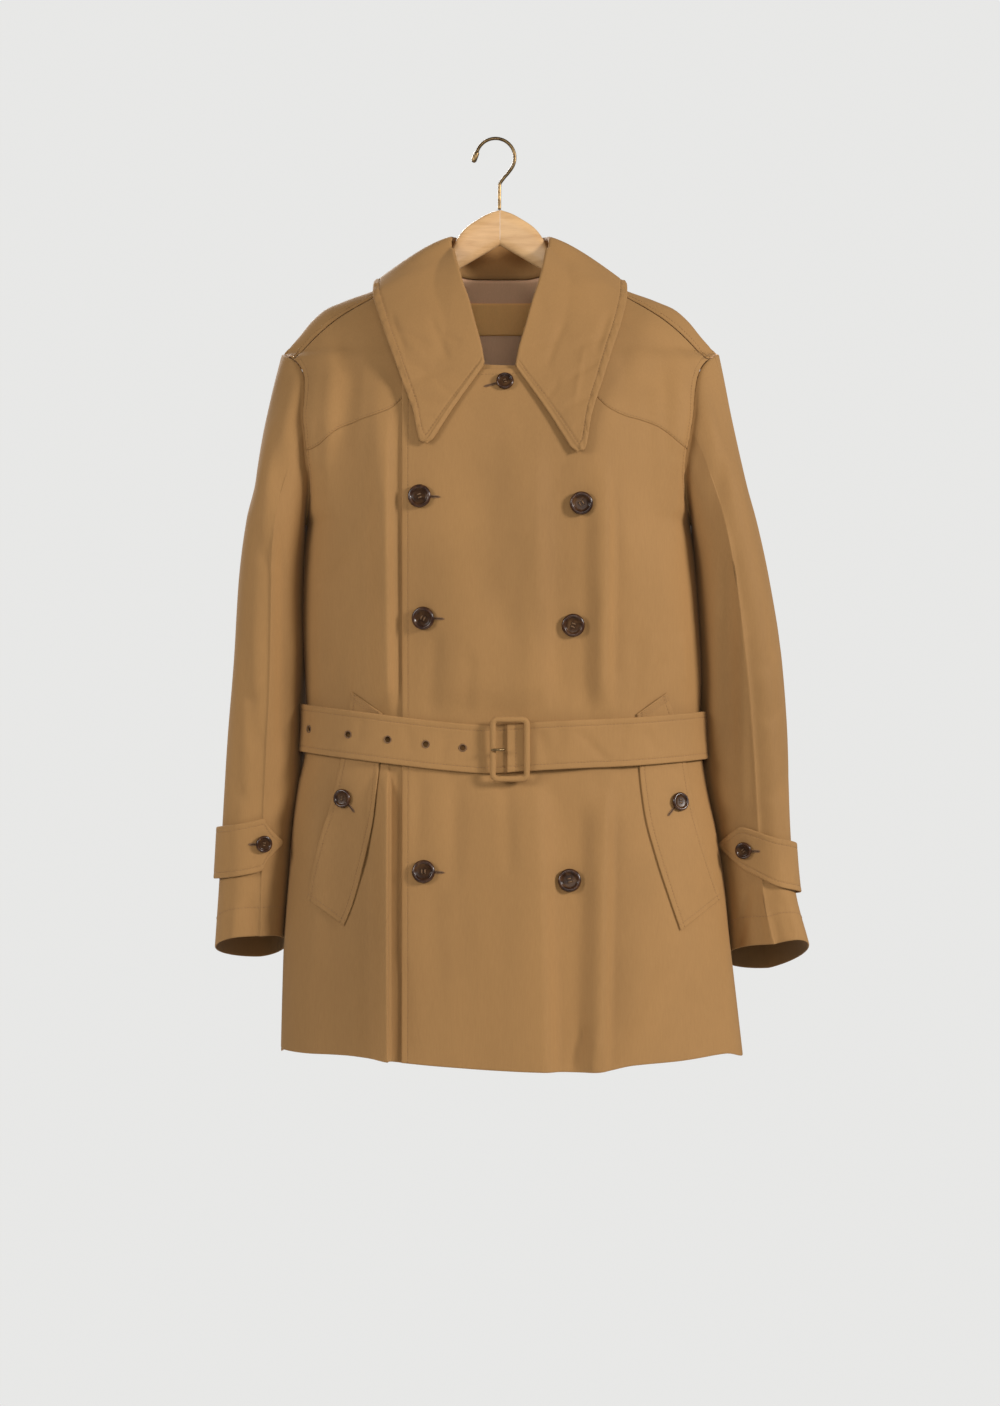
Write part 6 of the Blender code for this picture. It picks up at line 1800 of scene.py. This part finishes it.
# ================================================================ room, light and camera
# In metres; the view is FRAME_HEIGHT tall at the coat's centre plane
CAMERA_DISTANCE, CAMERA_Z, FRAME_HEIGHT = 3.2, -0.5888, 1.4707
SENSOR = 36.0
FLOOR_Z, FLOOR_RADIUS = -1.70, 1.30
ROOM_TONE, ROOM_GLOW = (0.805, 0.805, 0.795), 0.30
LIGHT_AIM = (0.0, 0.0, -0.5)
LIGHTS = [                # name, place, diameter, power and colour
    ("key", (3.0, -1.8, 0.6), 0.8, 122.0, (1.0, 0.97, 0.94)),
    ("fill", (-2.6, -2.0, 0.3), 1.2, 52.0, (1.0, 0.98, 0.96)),
    ("front", (0.2, -3.3, 0.2), 1.4, 18.0, (1.0, 0.98, 0.96)),
    ("behind", (-0.8, 2.4, 0.8), 1.4, 75.0, (1.0, 0.98, 0.96)),
]


def add_light(name, place, size, power, colour):
    lamp = bpy.data.lights.new(name, "AREA")
    lamp.shape = "DISK"
    lamp.size = size
    lamp.energy = power
    lamp.color = colour
    piece = bpy.data.objects.new(name, lamp)
    piece.location = place
    piece.rotation_euler = (Vector(LIGHT_AIM) - Vector(place)).to_track_quat("-Z", "Y").to_euler()
    bpy.context.collection.objects.link(piece)


def build_room():
    rings = [[(r * math.cos(a) / MM, r * math.sin(a) / MM, z / MM) for a in full_turn(96)]
             for r, z in ((FLOOR_RADIUS, FLOOR_Z - 0.02), (FLOOR_RADIUS, FLOOR_Z - 0.004),
                          (FLOOR_RADIUS - 0.004, FLOOR_Z))]
    floor = link_mesh("floor", *closed_rings(rings), plain_material("pale_floor", (0.80, 0.79, 0.77), 0.7))
    face_outwards(floor)
    sharpen(floor, 30)
    world = bpy.data.worlds.new("room")
    world.use_nodes = True
    nodes, links = world.node_tree.nodes, world.node_tree.links
    nodes["Background"].inputs["Color"].default_value = (*ROOM_TONE, 1)
    nodes["Background"].inputs["Strength"].default_value = ROOM_GLOW
    seen = nodes.new("ShaderNodeBackground")
    seen.inputs["Color"].default_value = (*ROOM_TONE, 1)
    path = nodes.new("ShaderNodeLightPath")
    both = nodes.new("ShaderNodeMixShader")
    links.new(path.outputs["Is Camera Ray"], both.inputs[0])
    links.new(nodes["Background"].outputs[0], both.inputs[1])
    links.new(seen.outputs[0], both.inputs[2])
    links.new(both.outputs[0], nodes["World Output"].inputs["Surface"])
    bpy.context.scene.world = world
    bpy.context.scene.view_settings.view_transform = "Standard"
    for light in LIGHTS:
        add_light(*light)


def add_camera():
    camera_data = bpy.data.cameras.new("camera")
    camera_data.sensor_width = SENSOR
    camera_data.lens = SENSOR * CAMERA_DISTANCE / FRAME_HEIGHT
    camera = bpy.data.objects.new("camera", camera_data)
    camera.location = (CENTRE_X * MM, -CAMERA_DISTANCE, CAMERA_Z)
    camera.rotation_euler = (math.pi / 2, 0, 0)
    bpy.context.collection.objects.link(camera)
    bpy.context.scene.camera = camera


# ================================================================ the whole scene
back_piece, back_names = build_body()
build_sleeves()
build_straps()
build_collar()
build_inside(back_piece, back_names)
build_welts()
build_belt()
build_buckle()
build_buttons()
build_hanger()
build_room()
add_camera()
